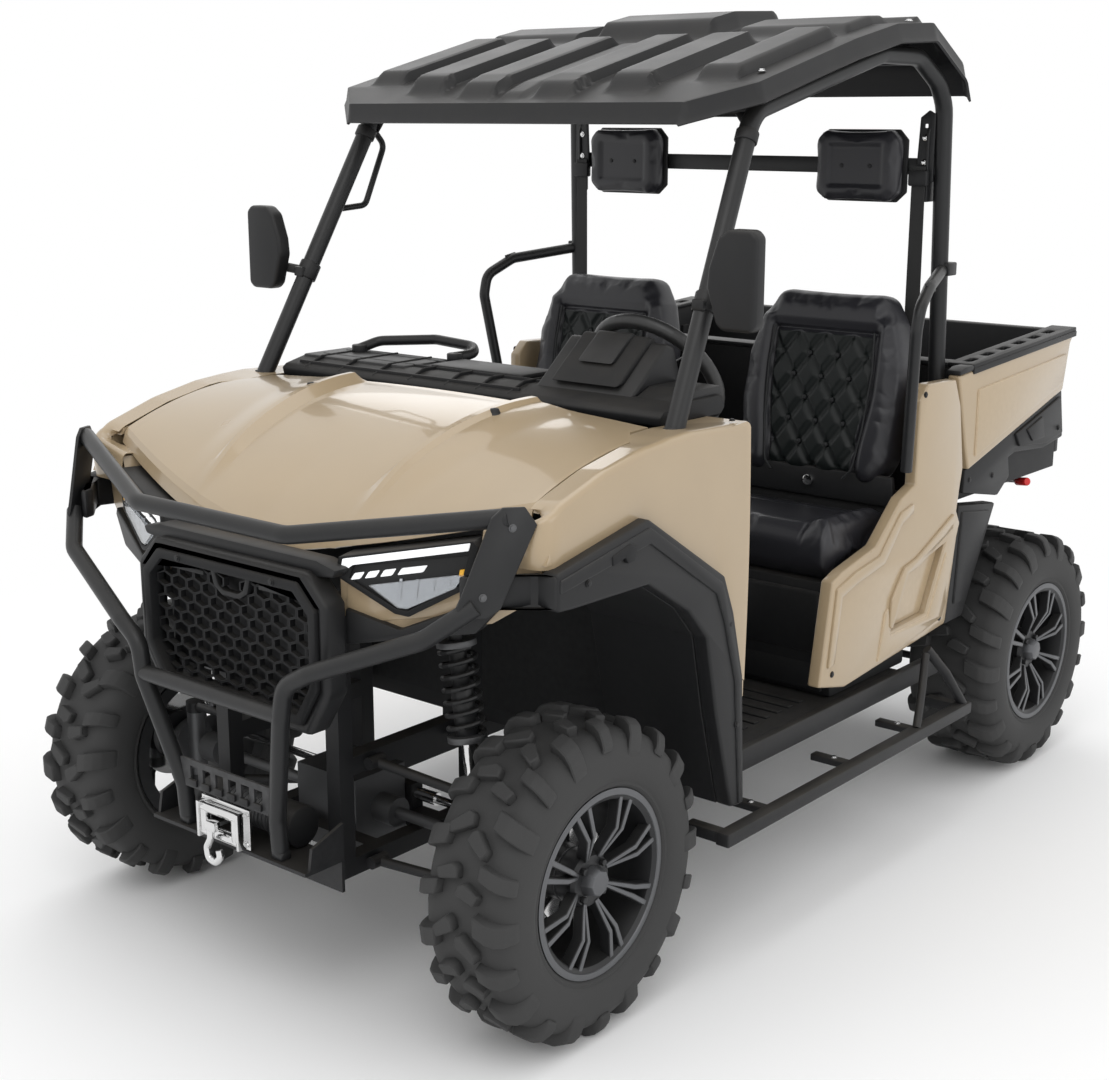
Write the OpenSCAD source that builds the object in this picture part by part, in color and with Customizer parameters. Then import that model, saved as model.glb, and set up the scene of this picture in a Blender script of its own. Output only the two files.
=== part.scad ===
// Two-seat side by side utility vehicle with a tilting cargo bed.
// +Z is up, the front faces -Y, +X is the vehicle's left. Millimetres.

/* [Wheels and axles] */
// Distance between the front and rear axles
wheelbase = 2056; // [1900:1:2500]
// Outer radius of all four tyres
tyre_r = 343; // [310:1:360]
// Section width of a front tyre
front_tyre_w = 228; // [200:1:240]
// Section width of a rear tyre
rear_tyre_w = 280; // [240:1:290]
// Distance from the centre plane to the outer sidewall
tyre_out = 748; // [730:1:800]
// Radius of the rim barrel where the tyre beads sit
rim_r = 180; // [170:1:190]
// Number of spoke pairs in a rim
spoke_pairs = 8; // [5:1:10]
// Distance of the steering axis from the centre plane
kingpin_x = 560; // [550:1:580]
// Radius of the wheel spindles
spindle_r = 20; // [16:1:24]

/* [Frame] */
// Underside of the lower frame rails
rail_z = 270; // [250:1:285]
// Side of the square frame tube
rail_s = 40; // [30:1:44]
// Inner face of the lower rails from the centre plane
rail_x = 160; // [150:1:165]
// Top of the front tower
tower_z = 900; // [880:1:910]
// Top of the rear frame under the bed
rear_top_z = 760; // [740:1:765]
// Upper face of the floor
floor_z = 445; // [438:1:455]

/* [Body] */
// Outer face of the fenders from the centre plane
body_x = 712; // [700:1:740]
// Half width of the bonnet
bonnet_x = 640; // [600:1:645]
// Height of the bonnet at its rear edge
bonnet_z = 1250; // [1246:1:1262]
// Thickness of the moulded body panels
panel_t = 10; // [6:1:12]
// Half width of the roof
roof_x = 650; // [620:1:700]
// Height added to the roof and the tops of its pillars
roof_rise = 0; // [-60:1:120]
// Outer radius of the roll cage tubes
cage_r = 22; // [18:1:25]
// Outer radius of the front bumper tubes
bumper_r = 19; // [15:1:22]
// Outer radius of the steering wheel
wheel_r = 178; // [160:1:185]

/* [Cargo bed] */
// Inner height of the bed walls above its floor
bed_h = 335; // [250:1:340]
// Length of the bed tub
bed_len = 640; // [560:1:640]
// Half width of the bed tub
bed_x = 648; // [600:1:649]
// Wall thickness of the bed tub
bed_wall = 34; // [20:1:40]

/* [Hidden] */
$fn = 32;
SEAT = 0.3;      // gap between faces that rest on each other
CLEAR = 5;       // least gap beside a moving piece

sand = [0.73, 0.63, 0.48];
black = [0.10, 0.10, 0.11];
steel_black = [0.16, 0.16, 0.17];
silver = [0.75, 0.76, 0.78];
vinyl = [0.07, 0.07, 0.08];

// Stations along the vehicle, counted from each axle
function fy(d) = -wheelbase / 2 + d;
function ry(d) = wheelbase / 2 + d;

axle_z = tyre_r;
rail_top = rail_z + rail_s;
rail_out = rail_x + rail_s;
arm_x = rail_out + 14 + SEAT;      // pivots of the suspension arms
arm_spread = 130;
low_ball_z = axle_z - 93;
up_ball_z = axle_z + 93;
front_up_z = 520;
rear_up_z = 480;
rear_hub_x = 455;
floor_bot = floor_z - 25;
hinge_bed = [ry(122), 800];
hinge_gate = [ry(234), 865];
hinge_bonnet = [fy(316), bonnet_z - 27];
bed_floor = 850;
bed_front = ry(-422);
bed_rear = bed_front + bed_len;
bed_top = bed_floor + 30 + bed_h;
cowl_x = 600;    // half width of the cowl and the dashboard
bed_top_rear = bed_top + 40;
function rail_at(y) = bed_top + (bed_top_rear - bed_top) * (y - bed_front) / bed_len;
column_tilt = 36.5;
column_at = [340, fy(698), 1280];
column_r = 14;
rack_y = fy(100);
winch_y = fy(-283);
rack_z = axle_z + 6;
nose_y = fy(-416);                 // front of the bumper
tail_y = -nose_y;                  // end of the hitch receiver

module pair() { children(); mirror([1, 0, 0]) children(); }
module block(a, b) { translate(a) cube(b - a); }
module along_x(x0, x1) { translate([x0, 0, 0]) rotate([90, 0, 90]) linear_extrude(x1 - x0) children(); }
module along_y(y0, y1) { translate([0, y1, 0]) rotate([90, 0, 0]) linear_extrude(y1 - y0) children(); }
module rod_x(x0, x1, y, z, r) { translate([x0, y, z]) rotate([0, 90, 0]) cylinder(h = x1 - x0, r = r); }
module rod_y(y0, y1, x, z, r) { translate([x, y0, z]) rotate([-90, 0, 0]) cylinder(h = y1 - y0, r = r); }
module rod(a, b, r) {
    d = b - a;
    translate(a) rotate([0, acos(d.z / norm(d)), atan2(d.y, d.x)]) cylinder(h = norm(d), r = r);
}
module tube(points, r) {
    for (i = [0 : len(points) - 2]) hull() {
        translate(points[i]) sphere(r, $fn = 14);
        translate(points[i + 1]) sphere(r, $fn = 14);
    }
}

// ---------------------------------------------------------------- frame
module chassis_frame() color(steel_black) difference() {
    union() {
        pair() {
            block([rail_x, fy(-262), rail_z], [rail_out, ry(212), rail_top]);
            block([rail_x, fy(-222), front_up_z - 20], [rail_out, fy(228), front_up_z + 20]);
            block([rail_x, fy(-222), tower_z - rail_s], [rail_out, fy(408), tower_z]);
            for (y = [fy(-222), fy(188)]) block([rail_x, y, rail_z], [rail_out, y + rail_s, tower_z]);
            block([rail_x, ry(-388), rear_up_z - 20], [rail_out, ry(212), rear_up_z + 20]);
            block([rail_x, ry(-492), rear_top_z - rail_s], [rail_out, ry(212), rear_top_z]);
            for (y = [ry(-388), ry(172)]) block([rail_x, y, rail_z], [rail_out, y + rail_s, rear_top_z]);
            for (y = [fy(513), ry(-640)]) block([rail_x, y, rail_z], [rail_out, y + rail_s, floor_bot - SEAT]);
            block([520, fy(513), floor_bot - 45], [560, ry(-600), floor_bot - SEAT]);
            block([rail_x, ry(107), rear_top_z - 1], [rail_out, ry(137), hinge_bed[1] + 10]);
        }
        block([-body_x + 57, fy(368), tower_z - 1], [body_x - 57, fy(368) + rail_s, tower_z + 40]);
        block([-395, fy(-62), tower_z - rail_s], [395, fy(-22), tower_z]);
        for (y = [fy(-120), fy(80) + SEAT]) block([-rail_x - 1, y, rail_z], [rail_x + 1, y + 40 - SEAT, rail_top]);
        block([-110, fy(82), rail_top - 1], [110, fy(118), rack_z + 24]);
        for (y = [fy(513), ry(-640)]) block([-560, y, floor_bot - 45], [560, y + rail_s, floor_bot - SEAT]);
        block([-body_x + 57 + SEAT, ry(-492), rear_top_z - rail_s], [body_x - 57 - SEAT, ry(-451), rear_top_z]);
        block([-370, ry(15), rear_top_z - rail_s], [370, ry(55), rear_top_z]);
        for (y = [ry(-548), ry(-288), ry(-120), ry(80) + SEAT, ry(172)]) block([-rail_x - 1, y, rail_z], [rail_x + 1, y + 40 - SEAT, rail_top]);
        block([-rail_x - 1, ry(-140), rear_top_z - rail_s], [rail_x + 1, ry(-100), rear_top_z]);
        block([-rail_x - 1, ry(202), rail_top - 1], [rail_x + 1, ry(212), 420]);
        rod_x(-300, 300, hinge_bed[0], hinge_bed[1], 16);
    }
    rod_x(-120, 120, rack_y, rack_z, 15.1);
}

module floor_pan() color(black)
    along_x(-672, 672) polygon([[fy(498), floor_bot], [fy(498), 880], [fy(513), 880], [fy(513), floor_z],
        [ry(-700), floor_z], [ry(-700), floor_bot]]);

module skid_plate() color(steel_black) {
    block([-250, fy(-372), 345], [250, fy(-262) - SEAT, 353]);
    block([-250, fy(-270), rail_z + 5], [250, fy(-262) - SEAT, 353]);
    pair() along_x(242, 250) polygon([[fy(-360), 345], [fy(-350), 400], [fy(-262) - SEAT, 430], [fy(-262) - SEAT, 345]]);
}

// ---------------------------------------------------------------- front end
module front_bumper() color(steel_black) {
    y_tube = nose_y + bumper_r;
    tube([[-655, fy(-190), 1137], [-234, fy(-376), 1069], [234, fy(-376), 1069], [655, fy(-190), 1137]], bumper_r);
    tube([[-224, y_tube, 697], [224, y_tube, 697]], bumper_r - 1);
    pair() {
        tube([[653, fy(-266), 972], [560, fy(-330), 905], [300, y_tube + 8, 800], [234, y_tube, 762], [222, y_tube, 690],
              [152, fy(-356), 443], [152, fy(-352), 353 + bumper_r + SEAT]], bumper_r);
        hull() {
            translate([651, fy(-190), 1137]) rotate([0, 90, 0]) cylinder(h = 8, r = 21);
            translate([651, fy(-266), 972]) rotate([0, 90, 0]) cylinder(h = 8, r = 21);
        }
    }
}

module winch() color(black) {
    rod_x(-85, 85, winch_y, 401, 34);
    for (x = [-150, 80]) rod_x(x, x + 70, winch_y, 401, 46);
    block([-140, winch_y - 30, 353 + SEAT], [140, winch_y + 20, 362]);
}

module fairlead() color(silver) {
    front = fy(-362);
    difference() {
        block([-78, front - 8, 353 + SEAT], [78, front - SEAT, 445]);
        block([-52, front - 10, 378], [52, front + 2, 420]);
    }
    for (z = [372, 426]) rod_x(-62, 62, front - 20, z, 11);
    for (x = [-50, 50]) translate([x, front - 20, 372]) cylinder(h = 54, r = 11);
    for (x = [-68, 60]) block([x, front - 33, 358], [x + 8, front - 7, 440]);
    translate([0, nose_y + 9, 0]) along_y(-9, 9) difference() {
        polygon([[-14, 420], [14, 420], [20, 350], [26, 335], [14, 318], [-14, 318], [-26, 334], [-10, 352]]);
        translate([2, 342]) circle(9);
    }
    block([-6, nose_y + 5, 392], [6, winch_y - 34 - SEAT, 408]);
}

module octagon(w, z0, z1, cut) {
    polygon([[-w + cut, z0], [w - cut, z0], [w, z0 + cut * 1.6], [w, z1 - cut], [w - cut, z1],
             [-w + cut, z1], [-w, z1 - cut], [-w, z0 + cut * 1.6]]);
}

module front_fascia() color(black) difference() {
    union() {
        along_y(fy(-340), fy(-278)) octagon(300, 640, 985, 60);
        pair() {
            block([rail_x + 5, fy(-279), 946], [rail_out - 5, fy(-190), 980]);
            block([rail_x + 5, fy(-215), tower_z + SEAT], [rail_out - 5, fy(-190), 950]);
        }
    }
    along_y(fy(-345), fy(-277)) octagon(250, 690, 940, 50);
}

module grille() color(black) difference() {
    along_y(fy(-322), fy(-304)) octagon(250 - SEAT, 690 + SEAT, 940 - SEAT, 50);
    for (i = [-3 : 3]) translate([i * 62, fy(-330), 0]) along_y(0, 40) polygon([[-22, 730], [22, 730], [22, 900], [-22, 900]]);
}

// Local frame of a headlight: x runs outwards and back along its front face
module brow() { translate([272, fy(-274), 0]) rotate([0, 0, 19.2]) children(); }

lamp_under = [[0, 975], [130, 908], [160, 905], [285, 975], [313, 1060]];

module headlights() color([0.8, 0.82, 0.85]) pair() brow()
    along_y(0, 70) polygon(concat(lamp_under, [[300, 1072], [8, 1015]]));

module front_fenders() color(sand) pair() {
    along_x(body_x - 36, body_x) polygon([[fy(-111), 1128], [fy(-104), 1143], [fy(235), 1211], [fy(521), 1228], [fy(533), 1218],
        [fy(533), 640], [fy(497), 640], for (i = [5 : -1 : 1]) at_axle(flare_out[i] + [2, 4] * SEAT), [fy(-150), 1040]]);
    along_x(bonnet_x + 6, body_x - 35) polygon([[fy(-111), 1128], [fy(-104), 1143], [fy(235), 1211], [fy(235), 1201], [fy(-90), 1132]]);
    block([cowl_x + SEAT, fy(373), 1205], [body_x - 35, fy(530), 1226]);
    brow() along_y(8, 60) polygon(concat([for (p = lamp_under) p + [1, -2] * SEAT], [[330, 1092], [435, 1098],
        [440, 1040], [420, 962], [330, 905], [130, 862], [0, 890]]));
}

// Outline of the wheel arch flare, counted from the front axle
flare_out = [[-150, 1028], [-102, 1038], [137, 1085], [411, 911], [448, 823], [489, 669], [506, 362]];
flare_in = [[454, 367], [388, 603], [348, 786], [281, 860], [139, 948], [-102, 950], [-150, 953]];
liner_out = [[-70, 950], [-70, 962], [143, 960], [290, 870], [358, 792], [399, 607], [466, 367]];
function at_axle(p) = [fy(p[0]), p[1]];
function at_axles(points) = [for (p = points) at_axle(p)];

module fender_flares() color(black) pair() {
    along_x(body_x - 12, body_x + 34) polygon(at_axles(concat(flare_out, flare_in)));
    along_x(420, body_x - 11) polygon(at_axles(concat([for (p = flare_in) if (p[0] > 0) p], liner_out)));
    hull() {
        block([body_x - 22, fy(-151), 955], [body_x + 28, fy(-149), 1026]);
        block([588, fy(-258), 975], [606, fy(-254), 998]);
    }
}

// Height of the bonnet skin: an eased rise from the nose edge to the rear edge
function nose_edge(x) = fy(-272) + 160 * pow(abs(x) / 640, 1.5);
function nose_z(x) = 1010 + 128 * pow(abs(x) / 640, 1.3);
function rear_z(x) = bonnet_z - 25 * pow(x / 640, 2);
function skin_z(x, t) = nose_z(x) + (rear_z(x) - nose_z(x)) * (1 - pow(1 - t, 2.2));
function bonnet_half(t) = bonnet_x - 45 * max(0, min(1, (t - 0.74) / 0.12));
bonnet_nx = 20;
bonnet_ny = 14;
bonnet_rear = fy(322);

module bonnet_shell() {
    top = [for (j = [0 : bonnet_ny]) for (i = [0 : bonnet_nx])
        let (t = j / bonnet_ny, x = bonnet_half(t) * (2 * i / bonnet_nx - 1), y0 = nose_edge(x))
        [x, y0 + t * (bonnet_rear - y0), skin_z(x, t)]];
    count = (bonnet_nx + 1) * (bonnet_ny + 1);
    low = [for (p = top) p - [0, 0, panel_t]];
    row = bonnet_nx + 1;
    quads = [for (j = [0 : bonnet_ny - 1]) for (i = [0 : bonnet_nx - 1]) j * row + i];
    faces = concat(
        [for (a = quads) [a + row, a + row + 1, a + 1, a]],
        [for (a = quads) [a + count, a + 1 + count, a + row + 1 + count, a + row + count]],
        [for (i = [0 : bonnet_nx - 1]) [i, i + 1, i + 1 + count, i + count]],
        [for (i = [0 : bonnet_nx - 1]) let (a = bonnet_ny * row + i) [a + 1, a, a + count, a + 1 + count]],
        [for (j = [0 : bonnet_ny - 1]) let (a = j * row) [a + row, a, a + count, a + row + count]],
        [for (j = [0 : bonnet_ny - 1]) let (a = j * row + bonnet_nx) [a, a + row, a + row + count, a + count]]);
    polyhedron(points = concat(top, low), faces = faces, convexity = 4);
}

module bonnet() color(sand) {
    bonnet_shell();
    for (x = [-340, 300]) difference() {
        union() {
            rod_x(x, x + 40, hinge_bonnet[0], hinge_bonnet[1], 12);
            block([x, hinge_bonnet[0] - 8, hinge_bonnet[1]], [x + 40, hinge_bonnet[0] + 4, hinge_bonnet[1] + 17]);
        }
        rod_x(x - 1, x + 41, hinge_bonnet[0], hinge_bonnet[1], 6.4);
    }
}

module cowl() color(black) {
    along_x(-cowl_x, cowl_x) polygon([[fy(349), 1222], [fy(349), 1237], [fy(341), 1246], [fy(430), 1266], [fy(590), 1266], [fy(603), 1240], [fy(588), 1222]]);
    for (x = [-340, 300]) {
        rod_x(x - 10, x + 50, hinge_bonnet[0], hinge_bonnet[1], 6);
        for (e = [-11, 42]) translate([x + e, hinge_bonnet[0], hinge_bonnet[1]]) {
            block([0, -9, -9], [9, 7, 3]);
            block([0, -9, -14], [9, 46, -5.5]);
            block([0, 36, -14], [9, 46, 0]);
        }
    }
}

module column_axis() { translate(column_at) rotate([column_tilt - 90, 0, 0]) children(); }

module dashboard() color(black) difference() {
    along_x(-cowl_x, cowl_x) polygon([[fy(408) + SEAT, 905], [fy(408) + SEAT, 940], [fy(428), 960], [fy(428), 1222 - SEAT], [fy(585), 1222 - SEAT],
        [fy(615), 1190], [fy(600), 1010], [fy(530), 905]]);
    column_axis() translate([0, 0, -260]) cylinder(h = 240, r = column_r + 0.4);
}

module instrument_pod() color(black)
    along_x(205, 455) polygon([[fy(436), 1266 + SEAT], [fy(558), 1372], [fy(588), 1360], [fy(612), 1290], [fy(590), 1266 + SEAT]]);

// A point on the axis of the left A-pillar at a given height
pillar_low = [650, fy(330), 1200];
pillar_high = [590, fy(686), 1852 + roof_rise];
function pillar_at(z) = pillar_low + (pillar_high - pillar_low) * (z - pillar_low.z) / (pillar_high.z - pillar_low.z);

module grab_handles() color(steel_black) {
    seat_z = 1266 + 13 + SEAT;
    tube([[-510, fy(548), seat_z], [-490, fy(600), 1296], [-350, fy(668), 1304], [-225, fy(672), 1296], [-190, fy(640), 1284],
          [-205, fy(583), seat_z]], 13);
    behind = [0, (cage_r + 8 + SEAT) / cos(28.5), 0];
    mirror([1, 0, 0]) tube([pillar_at(1826) + behind, [597, fy(739), 1791], [600, fy(668), 1638], pillar_at(1632) + behind], 8);
}

// ---------------------------------------------------------------- cab
module seat_base() color(black) difference() {
    along_x(-640, 640) polygon([[ry(-1018), floor_z + SEAT], [ry(-1026), 745], [ry(-703), 745], [ry(-703), 915],
        [ry(-640), 915], [ry(-640), floor_z + SEAT]]);
    block([-620, ry(-1000), floor_z - 1], [620, ry(-660), 725]);
}

module seat_cushions() color(vinyl) pair()
    along_x(112, 636) polygon([[ry(-1050), 770], [ry(-1056), 850], [ry(-1030), 884], [ry(-900), 880], [ry(-730), 868],
        [ry(-708), 850], [ry(-708), 745 + SEAT], [ry(-1020), 745 + SEAT]]);

module seat_backs() color(vinyl) pair() intersection() {
    along_x(112, 636) polygon([[ry(-722), 915 + SEAT], [ry(-738), 950], [ry(-640), 1400], [ry(-604), 1455], [ry(-552), 1450],
        [ry(-530), 1410], [ry(-614), 930], [ry(-630), 915 + SEAT]]);
    along_y(0, ry(0)) polygon([[112, 900], [636, 900], [636, 1250], [600, 1410], [560, 1460], [188, 1460], [148, 1410], [112, 1250]]);
}

function rise(p) = p + [0, 0, roof_rise];

module roll_cage() color(steel_black) {
    pair() {
        tube([[647, fy(378), tower_z + 40 + cage_r + SEAT], pillar_low, pillar_high, rise([586, fy(722), 1880]),
              rise([588, fy(1049), 1962]), rise([592, ry(-815), 2010]), rise([596, ry(-640), 2008]), rise([600, ry(-536), 1946]),
              rise([602, ry(-500), 1890]), [608, ry(-478), 1180], [608, ry(-474), rear_top_z + cage_r + SEAT]], cage_r);
        tube([[610, ry(-478), 1478], [690, ry(-698), 1452], [714, ry(-786), 1408], [714, ry(-800), 1350], [676, ry(-745), 990]], 15);
        block(rise([580, fy(1040), 1970]), rise([600, fy(1058), 2003.5]));
        block(rise([582, ry(-820), 2020]), rise([602, ry(-806), 2054.4]));
        hull() for (z = [1700, 1790]) translate([575, ry(-512), z + roof_rise]) rotate([0, 90, 0]) cylinder(h = 12, r = 22);
    }
    tube([rise([-588, fy(704), 1868]), rise([588, fy(704), 1868])], cage_r - 3);
    tube([rise([-592, ry(-815), 2008]), rise([592, ry(-815), 2008])], cage_r - 3);
    tube([rise([-600, ry(-536), 1944]), rise([600, ry(-536), 1944])], cage_r - 3);
    block([-606, ry(-512), 1718 + roof_rise], [606, ry(-504), 1760 + roof_rise]);
}

module roof() color(black) translate([0, 0, roof_rise]) intersection() {
    union() {
        along_x(-roof_x, roof_x) polygon([[fy(526), 1866], [fy(526), 1902], [fy(650), 1947], [fy(1049), 2046], [ry(-815), 2094],
            [ry(-640), 2100], [ry(-474), 1990], [ry(-450), 1944], [ry(-480), 1950], [ry(-640), 2064], [ry(-815), 2056],
            [fy(1049), 2006], [fy(650), 1907]]);
        pair() for (r = [[60, 175], [250, 365], [450, 560]]) along_x(r[0], r[1])
            polygon([[fy(600), 1925], [fy(640), 1968], [fy(1049), 2068], [ry(-815), 2116], [ry(-650), 2120], [ry(-600), 2068]]);
        along_x(-170, 170) polygon([[fy(1100), 2050], [fy(1160), 2096], [ry(-815), 2138], [ry(-600), 2140], [ry(-545), 2050]]);
    }
    linear_extrude(2300) polygon([[-500, fy(520)], [500, fy(520)], [roof_x, fy(650)], [roof_x, ry(-448)],
        [-roof_x, ry(-448)], [-roof_x, fy(650)]]);
}

module headrests() color(vinyl) translate([0, 0, roof_rise]) pair() along_y(ry(-566), ry(-512) - SEAT)
    polygon([[265, 1660], [300, 1640], [470, 1640], [505, 1660], [520, 1740], [505, 1818], [470, 1838], [300, 1838], [265, 1818], [250, 1740]]);

module seat_belts() color(black) pair() {
    along_x(532, 574.4) polygon([[ry(-538), 1780 + roof_rise], [ry(-534), 1780 + roof_rise], [ry(-508), 1240], [ry(-508), 1000],
        [ry(-512), 1000], [ry(-512), 1240]]);
}

module mirrors() color(black) pair() {
    clamp = pillar_at(1478) + [cage_r + 1.8, 0, 0];
    rod(clamp, [742, fy(452), 1492], 12);
    along_y(fy(425), fy(461)) polygon([[694, 1440], [706, 1428], [778, 1428], [790, 1440], [790, 1630], [776, 1642], [722, 1642],
        [700, 1620], [694, 1560]]);
}

// ---------------------------------------------------------------- rear body
module rear_quarters() color(sand) pair() difference() {
    along_x(655, 690) polygon([[ry(-1156), 519], [ry(-1109), 775], [ry(-1062), 792], [ry(-902), 825], [ry(-783), 927],
        [ry(-715), 950], [ry(-712), 1168], [ry(-671), 1205], [ry(-523), 1200], [ry(-488), 1127], [ry(-456), 956],
        [ry(-466), 912], [ry(-479), 842], [ry(-456), 806], [ry(-470), 769], [ry(-510), 545], [ry(-516), 535], [ry(-1034), 490]]);
    along_x(675, 691) polygon([[ry(-741), 715], [ry(-535), 763], [ry(-625), 590], [ry(-809), 582]]);
}

module rear_side_trims() color(black) pair()
    along_x(628, 670) polygon([[ry(-432), 846], [ry(-209), 816], [ry(-241), 761], [ry(-375), 523], [ry(-478), 521], [ry(-437), 817]]);

module side_steps() color(steel_black) pair() {
    block([742, fy(393), 298], [778, ry(-502), 330]);
    for (y = [fy(560), ry(-680)]) {
        block([560 + SEAT, y, 300], [743, y + 32, 328]);
        block([560 + SEAT, y, 300], [572, y + 32, floor_bot - 5]);
    }
    tube([[760, ry(-522), 318], [702, ry(-612), 470], [760, ry(-900), 318]], 12);
}

module engine_block() color([0.25, 0.25, 0.27])
    block([-150, ry(-598), rail_top + SEAT], [150, ry(-228), 700]);

module muffler() color(silver) {
    rod_x(-140, 140, ry(-120), 600, 62);
    rod_y(ry(-120), ry(300), 110, 600, 20);
    block([-20, ry(-125), 640], [20, ry(-115), rear_top_z - rail_s - SEAT]);
}

module drive_axles() color(steel_black) {
    block([-95, fy(-80), axle_z - 78], [95, fy(76), axle_z + 85]);
    block([-95, ry(-80), axle_z - 78], [95, ry(80), axle_z + 85]);
    for (s = [-1, 1]) {
        rod([s * 94, fy(0), axle_z], [s * (kingpin_x - 52), fy(0), axle_z], 13);
        rod([s * 94, fy(0), axle_z], [s * 150, fy(0), axle_z], 34);
        rod([s * (kingpin_x - 104), fy(0), axle_z], [s * (kingpin_x - 48), fy(0), axle_z], 36);
        rod([s * 94, ry(0), axle_z], [s * (rear_hub_x - 12), ry(0), axle_z], 13);
        rod([s * 94, ry(0), axle_z], [s * 150, ry(0), axle_z], 34);
        rod([s * (rear_hub_x - 70), ry(0), axle_z], [s * (rear_hub_x - 16), ry(0), axle_z], 36);
    }
}

// Outer end of an arm's leg, just inside its ball joint; drop keeps it off the knuckle
leg_r = 11;
function leg_end(y, side, xo, zo, drop) = [xo - 20, y + side * 6, zo + drop];
function leg_start(y, side, zi) = [arm_x, y + side * arm_spread, zi];

// A-arm: two legs from the frame pivots to one outer eye
module a_arm(y, zi, xo, zo, drop, eye_z0, eye_z1) {
    for (s = [-1, 1]) {
        rod(leg_start(y, s, zi), leg_end(y, s, xo, zo, drop), leg_r);
        rod_y(y + s * arm_spread - 22, y + s * arm_spread + 22, arm_x, zi, 14);
    }
    translate([xo, y, eye_z0]) cylinder(h = eye_z1 - eye_z0, r = 24);
}

module suspension_arms() color(steel_black) pair() {
    a_arm(fy(0), rail_z + 20, kingpin_x, low_ball_z, -3, low_ball_z - 14, low_ball_z + 12 - SEAT);
    a_arm(fy(0), front_up_z, kingpin_x, up_ball_z, 3, up_ball_z - 12 + SEAT, up_ball_z + 14);
    a_arm(ry(0), rail_z + 20, rear_hub_x, low_ball_z, 0, low_ball_z - 12, low_ball_z + 12);
    a_arm(ry(0), rear_up_z, rear_hub_x, up_ball_z, 0, up_ball_z - 12, up_ball_z + 12);
    translate([rear_hub_x + 18, ry(0), low_ball_z - 10]) cylinder(h = up_ball_z - low_ball_z + 20, r = 18);
    rod_x(rear_hub_x + 14, rear_hub_x + 50, ry(0), axle_z, 58);
    rod_x(rear_hub_x + 40, tyre_out - 60, ry(0), axle_z, spindle_r);
}

// Lower eye of a coil-over, resting on a leg of the upper arm
eye_r = 17;
function on_leg(a, b, x) = let (t = (x - a.x) / (b.x - a.x), slope = atan2(b.z - a.z, b.x - a.x))
    a + (b - a) * t + [0, 0, (leg_r + eye_r + 0.5) / cos(slope)];

module coil_over(low, high) {
    d = high - low;
    rod(low + d * 0.05, high - d * 0.05, 17);
    rod(low + d * 0.30, high - d * 0.12, 36);
    rod(low + d * 0.24, low + d * 0.30, 42);
    rod(high - d * 0.12, high - d * 0.08, 42);
    for (p = [low, high]) rod_y(p.y - 14, p.y + 14, p.x, p.z, eye_r);
}

module shock_absorbers() color([0.2, 0.2, 0.21]) pair() {
    coil_over(on_leg(leg_start(fy(0), -1, front_up_z), leg_end(fy(0), -1, kingpin_x, up_ball_z, 3), 425),
        [368, fy(-42), tower_z - rail_s - eye_r - SEAT]);
    coil_over(on_leg(leg_start(ry(0), 1, rear_up_z), leg_end(ry(0), 1, rear_hub_x, up_ball_z, 0), 388),
        [345, ry(35), rear_top_z - rail_s - eye_r - SEAT]);
}

module hitch_receiver() color(steel_black) difference() {
    union() {
        block([-32, ry(212) + SEAT, 326], [32, tail_y, 390]);
        block([-60, ry(212) + SEAT, 312], [60, ry(222), 404]);
    }
    block([-25.5, ry(250), 332.5], [25.5, tail_y + 1, 383.5]);
    rod_x(-40, 40, tail_y - 55, 358, 8);
}

module bed_lever() color([0.8, 0.1, 0.1]) {
    rod([566, ry(84), 816], [642, ry(46), 830], 11);
    block([560, ry(70), 806], [572, ry(98), bed_floor - SEAT]);
}

// ---------------------------------------------------------------- cargo bed
module cargo_bed() color(black) difference() {
    union() {
        difference() {
            along_x(-bed_x, bed_x) polygon([[bed_front, bed_floor], [bed_rear, bed_floor], [bed_rear, bed_top_rear], [bed_front, bed_top]]);
            block([-bed_x + bed_wall, bed_front + bed_wall, bed_floor + 30], [bed_x - bed_wall, bed_rear + 1, bed_top_rear + 1]);
        }
        pair() {
            block([225, hinge_bed[0] - 30, hinge_bed[1]], [255, hinge_bed[0] + 30, bed_floor + 1]);
            rod_x(225, 255, hinge_bed[0], hinge_bed[1], 30);
            along_x(bed_x - 1, bed_x + 20) polygon([[ry(-416), 941], [ry(178), 1089], [ry(206), 945], [ry(75), 929],
                [ry(-111), 944], [ry(-151), 936], [ry(-138), 880], [ry(-206), 836], [ry(-420), 878]]);
            for (part = [[ry(-497), bed_front + 1, 6], [bed_front, bed_rear, bed_wall]])
                along_x(bed_x - part[2], bed_x + 38) polygon([[part[0], rail_at(part[0]) - 1], [part[1], rail_at(part[1]) - 1],
                    [part[1], rail_at(part[1]) + 9], [part[0], rail_at(part[0]) + 9]]);
            for (x = [476, 560]) block([x, bed_rear - 1, bed_floor + 4], [x + 20, hinge_gate[0], bed_floor + 26]);
            rod_x(470, 586, hinge_gate[0], hinge_gate[1], 9);
        }
    }
    pair() rod_x(220, 260, hinge_bed[0], hinge_bed[1], 16.1);
}

module bed_side_panels() color(sand) pair()
    along_x(bed_x + SEAT, bed_x + 40) polygon([[ry(-497), rail_at(ry(-497)) - 1 - SEAT], [bed_rear, bed_top_rear - 1 - SEAT], [ry(192), 1222],
        [ry(161), 1089], [ry(-416), 942], [ry(-441), 1012]]);

module tailgate() color(sand) difference() {
    union() {
        block([-bed_x + 4, bed_rear + 6, bed_floor + 40], [bed_x - 4, bed_rear + 34, bed_top_rear]);
        pair() {
            block([506, hinge_gate[0] - 12, hinge_gate[1]], [550, hinge_gate[0] + 12, bed_floor + 41]);
            rod_x(506, 550, hinge_gate[0], hinge_gate[1], 15);
        }
    }
    pair() rod_x(500, 556, hinge_gate[0], hinge_gate[1], 9.1);
}

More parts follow.
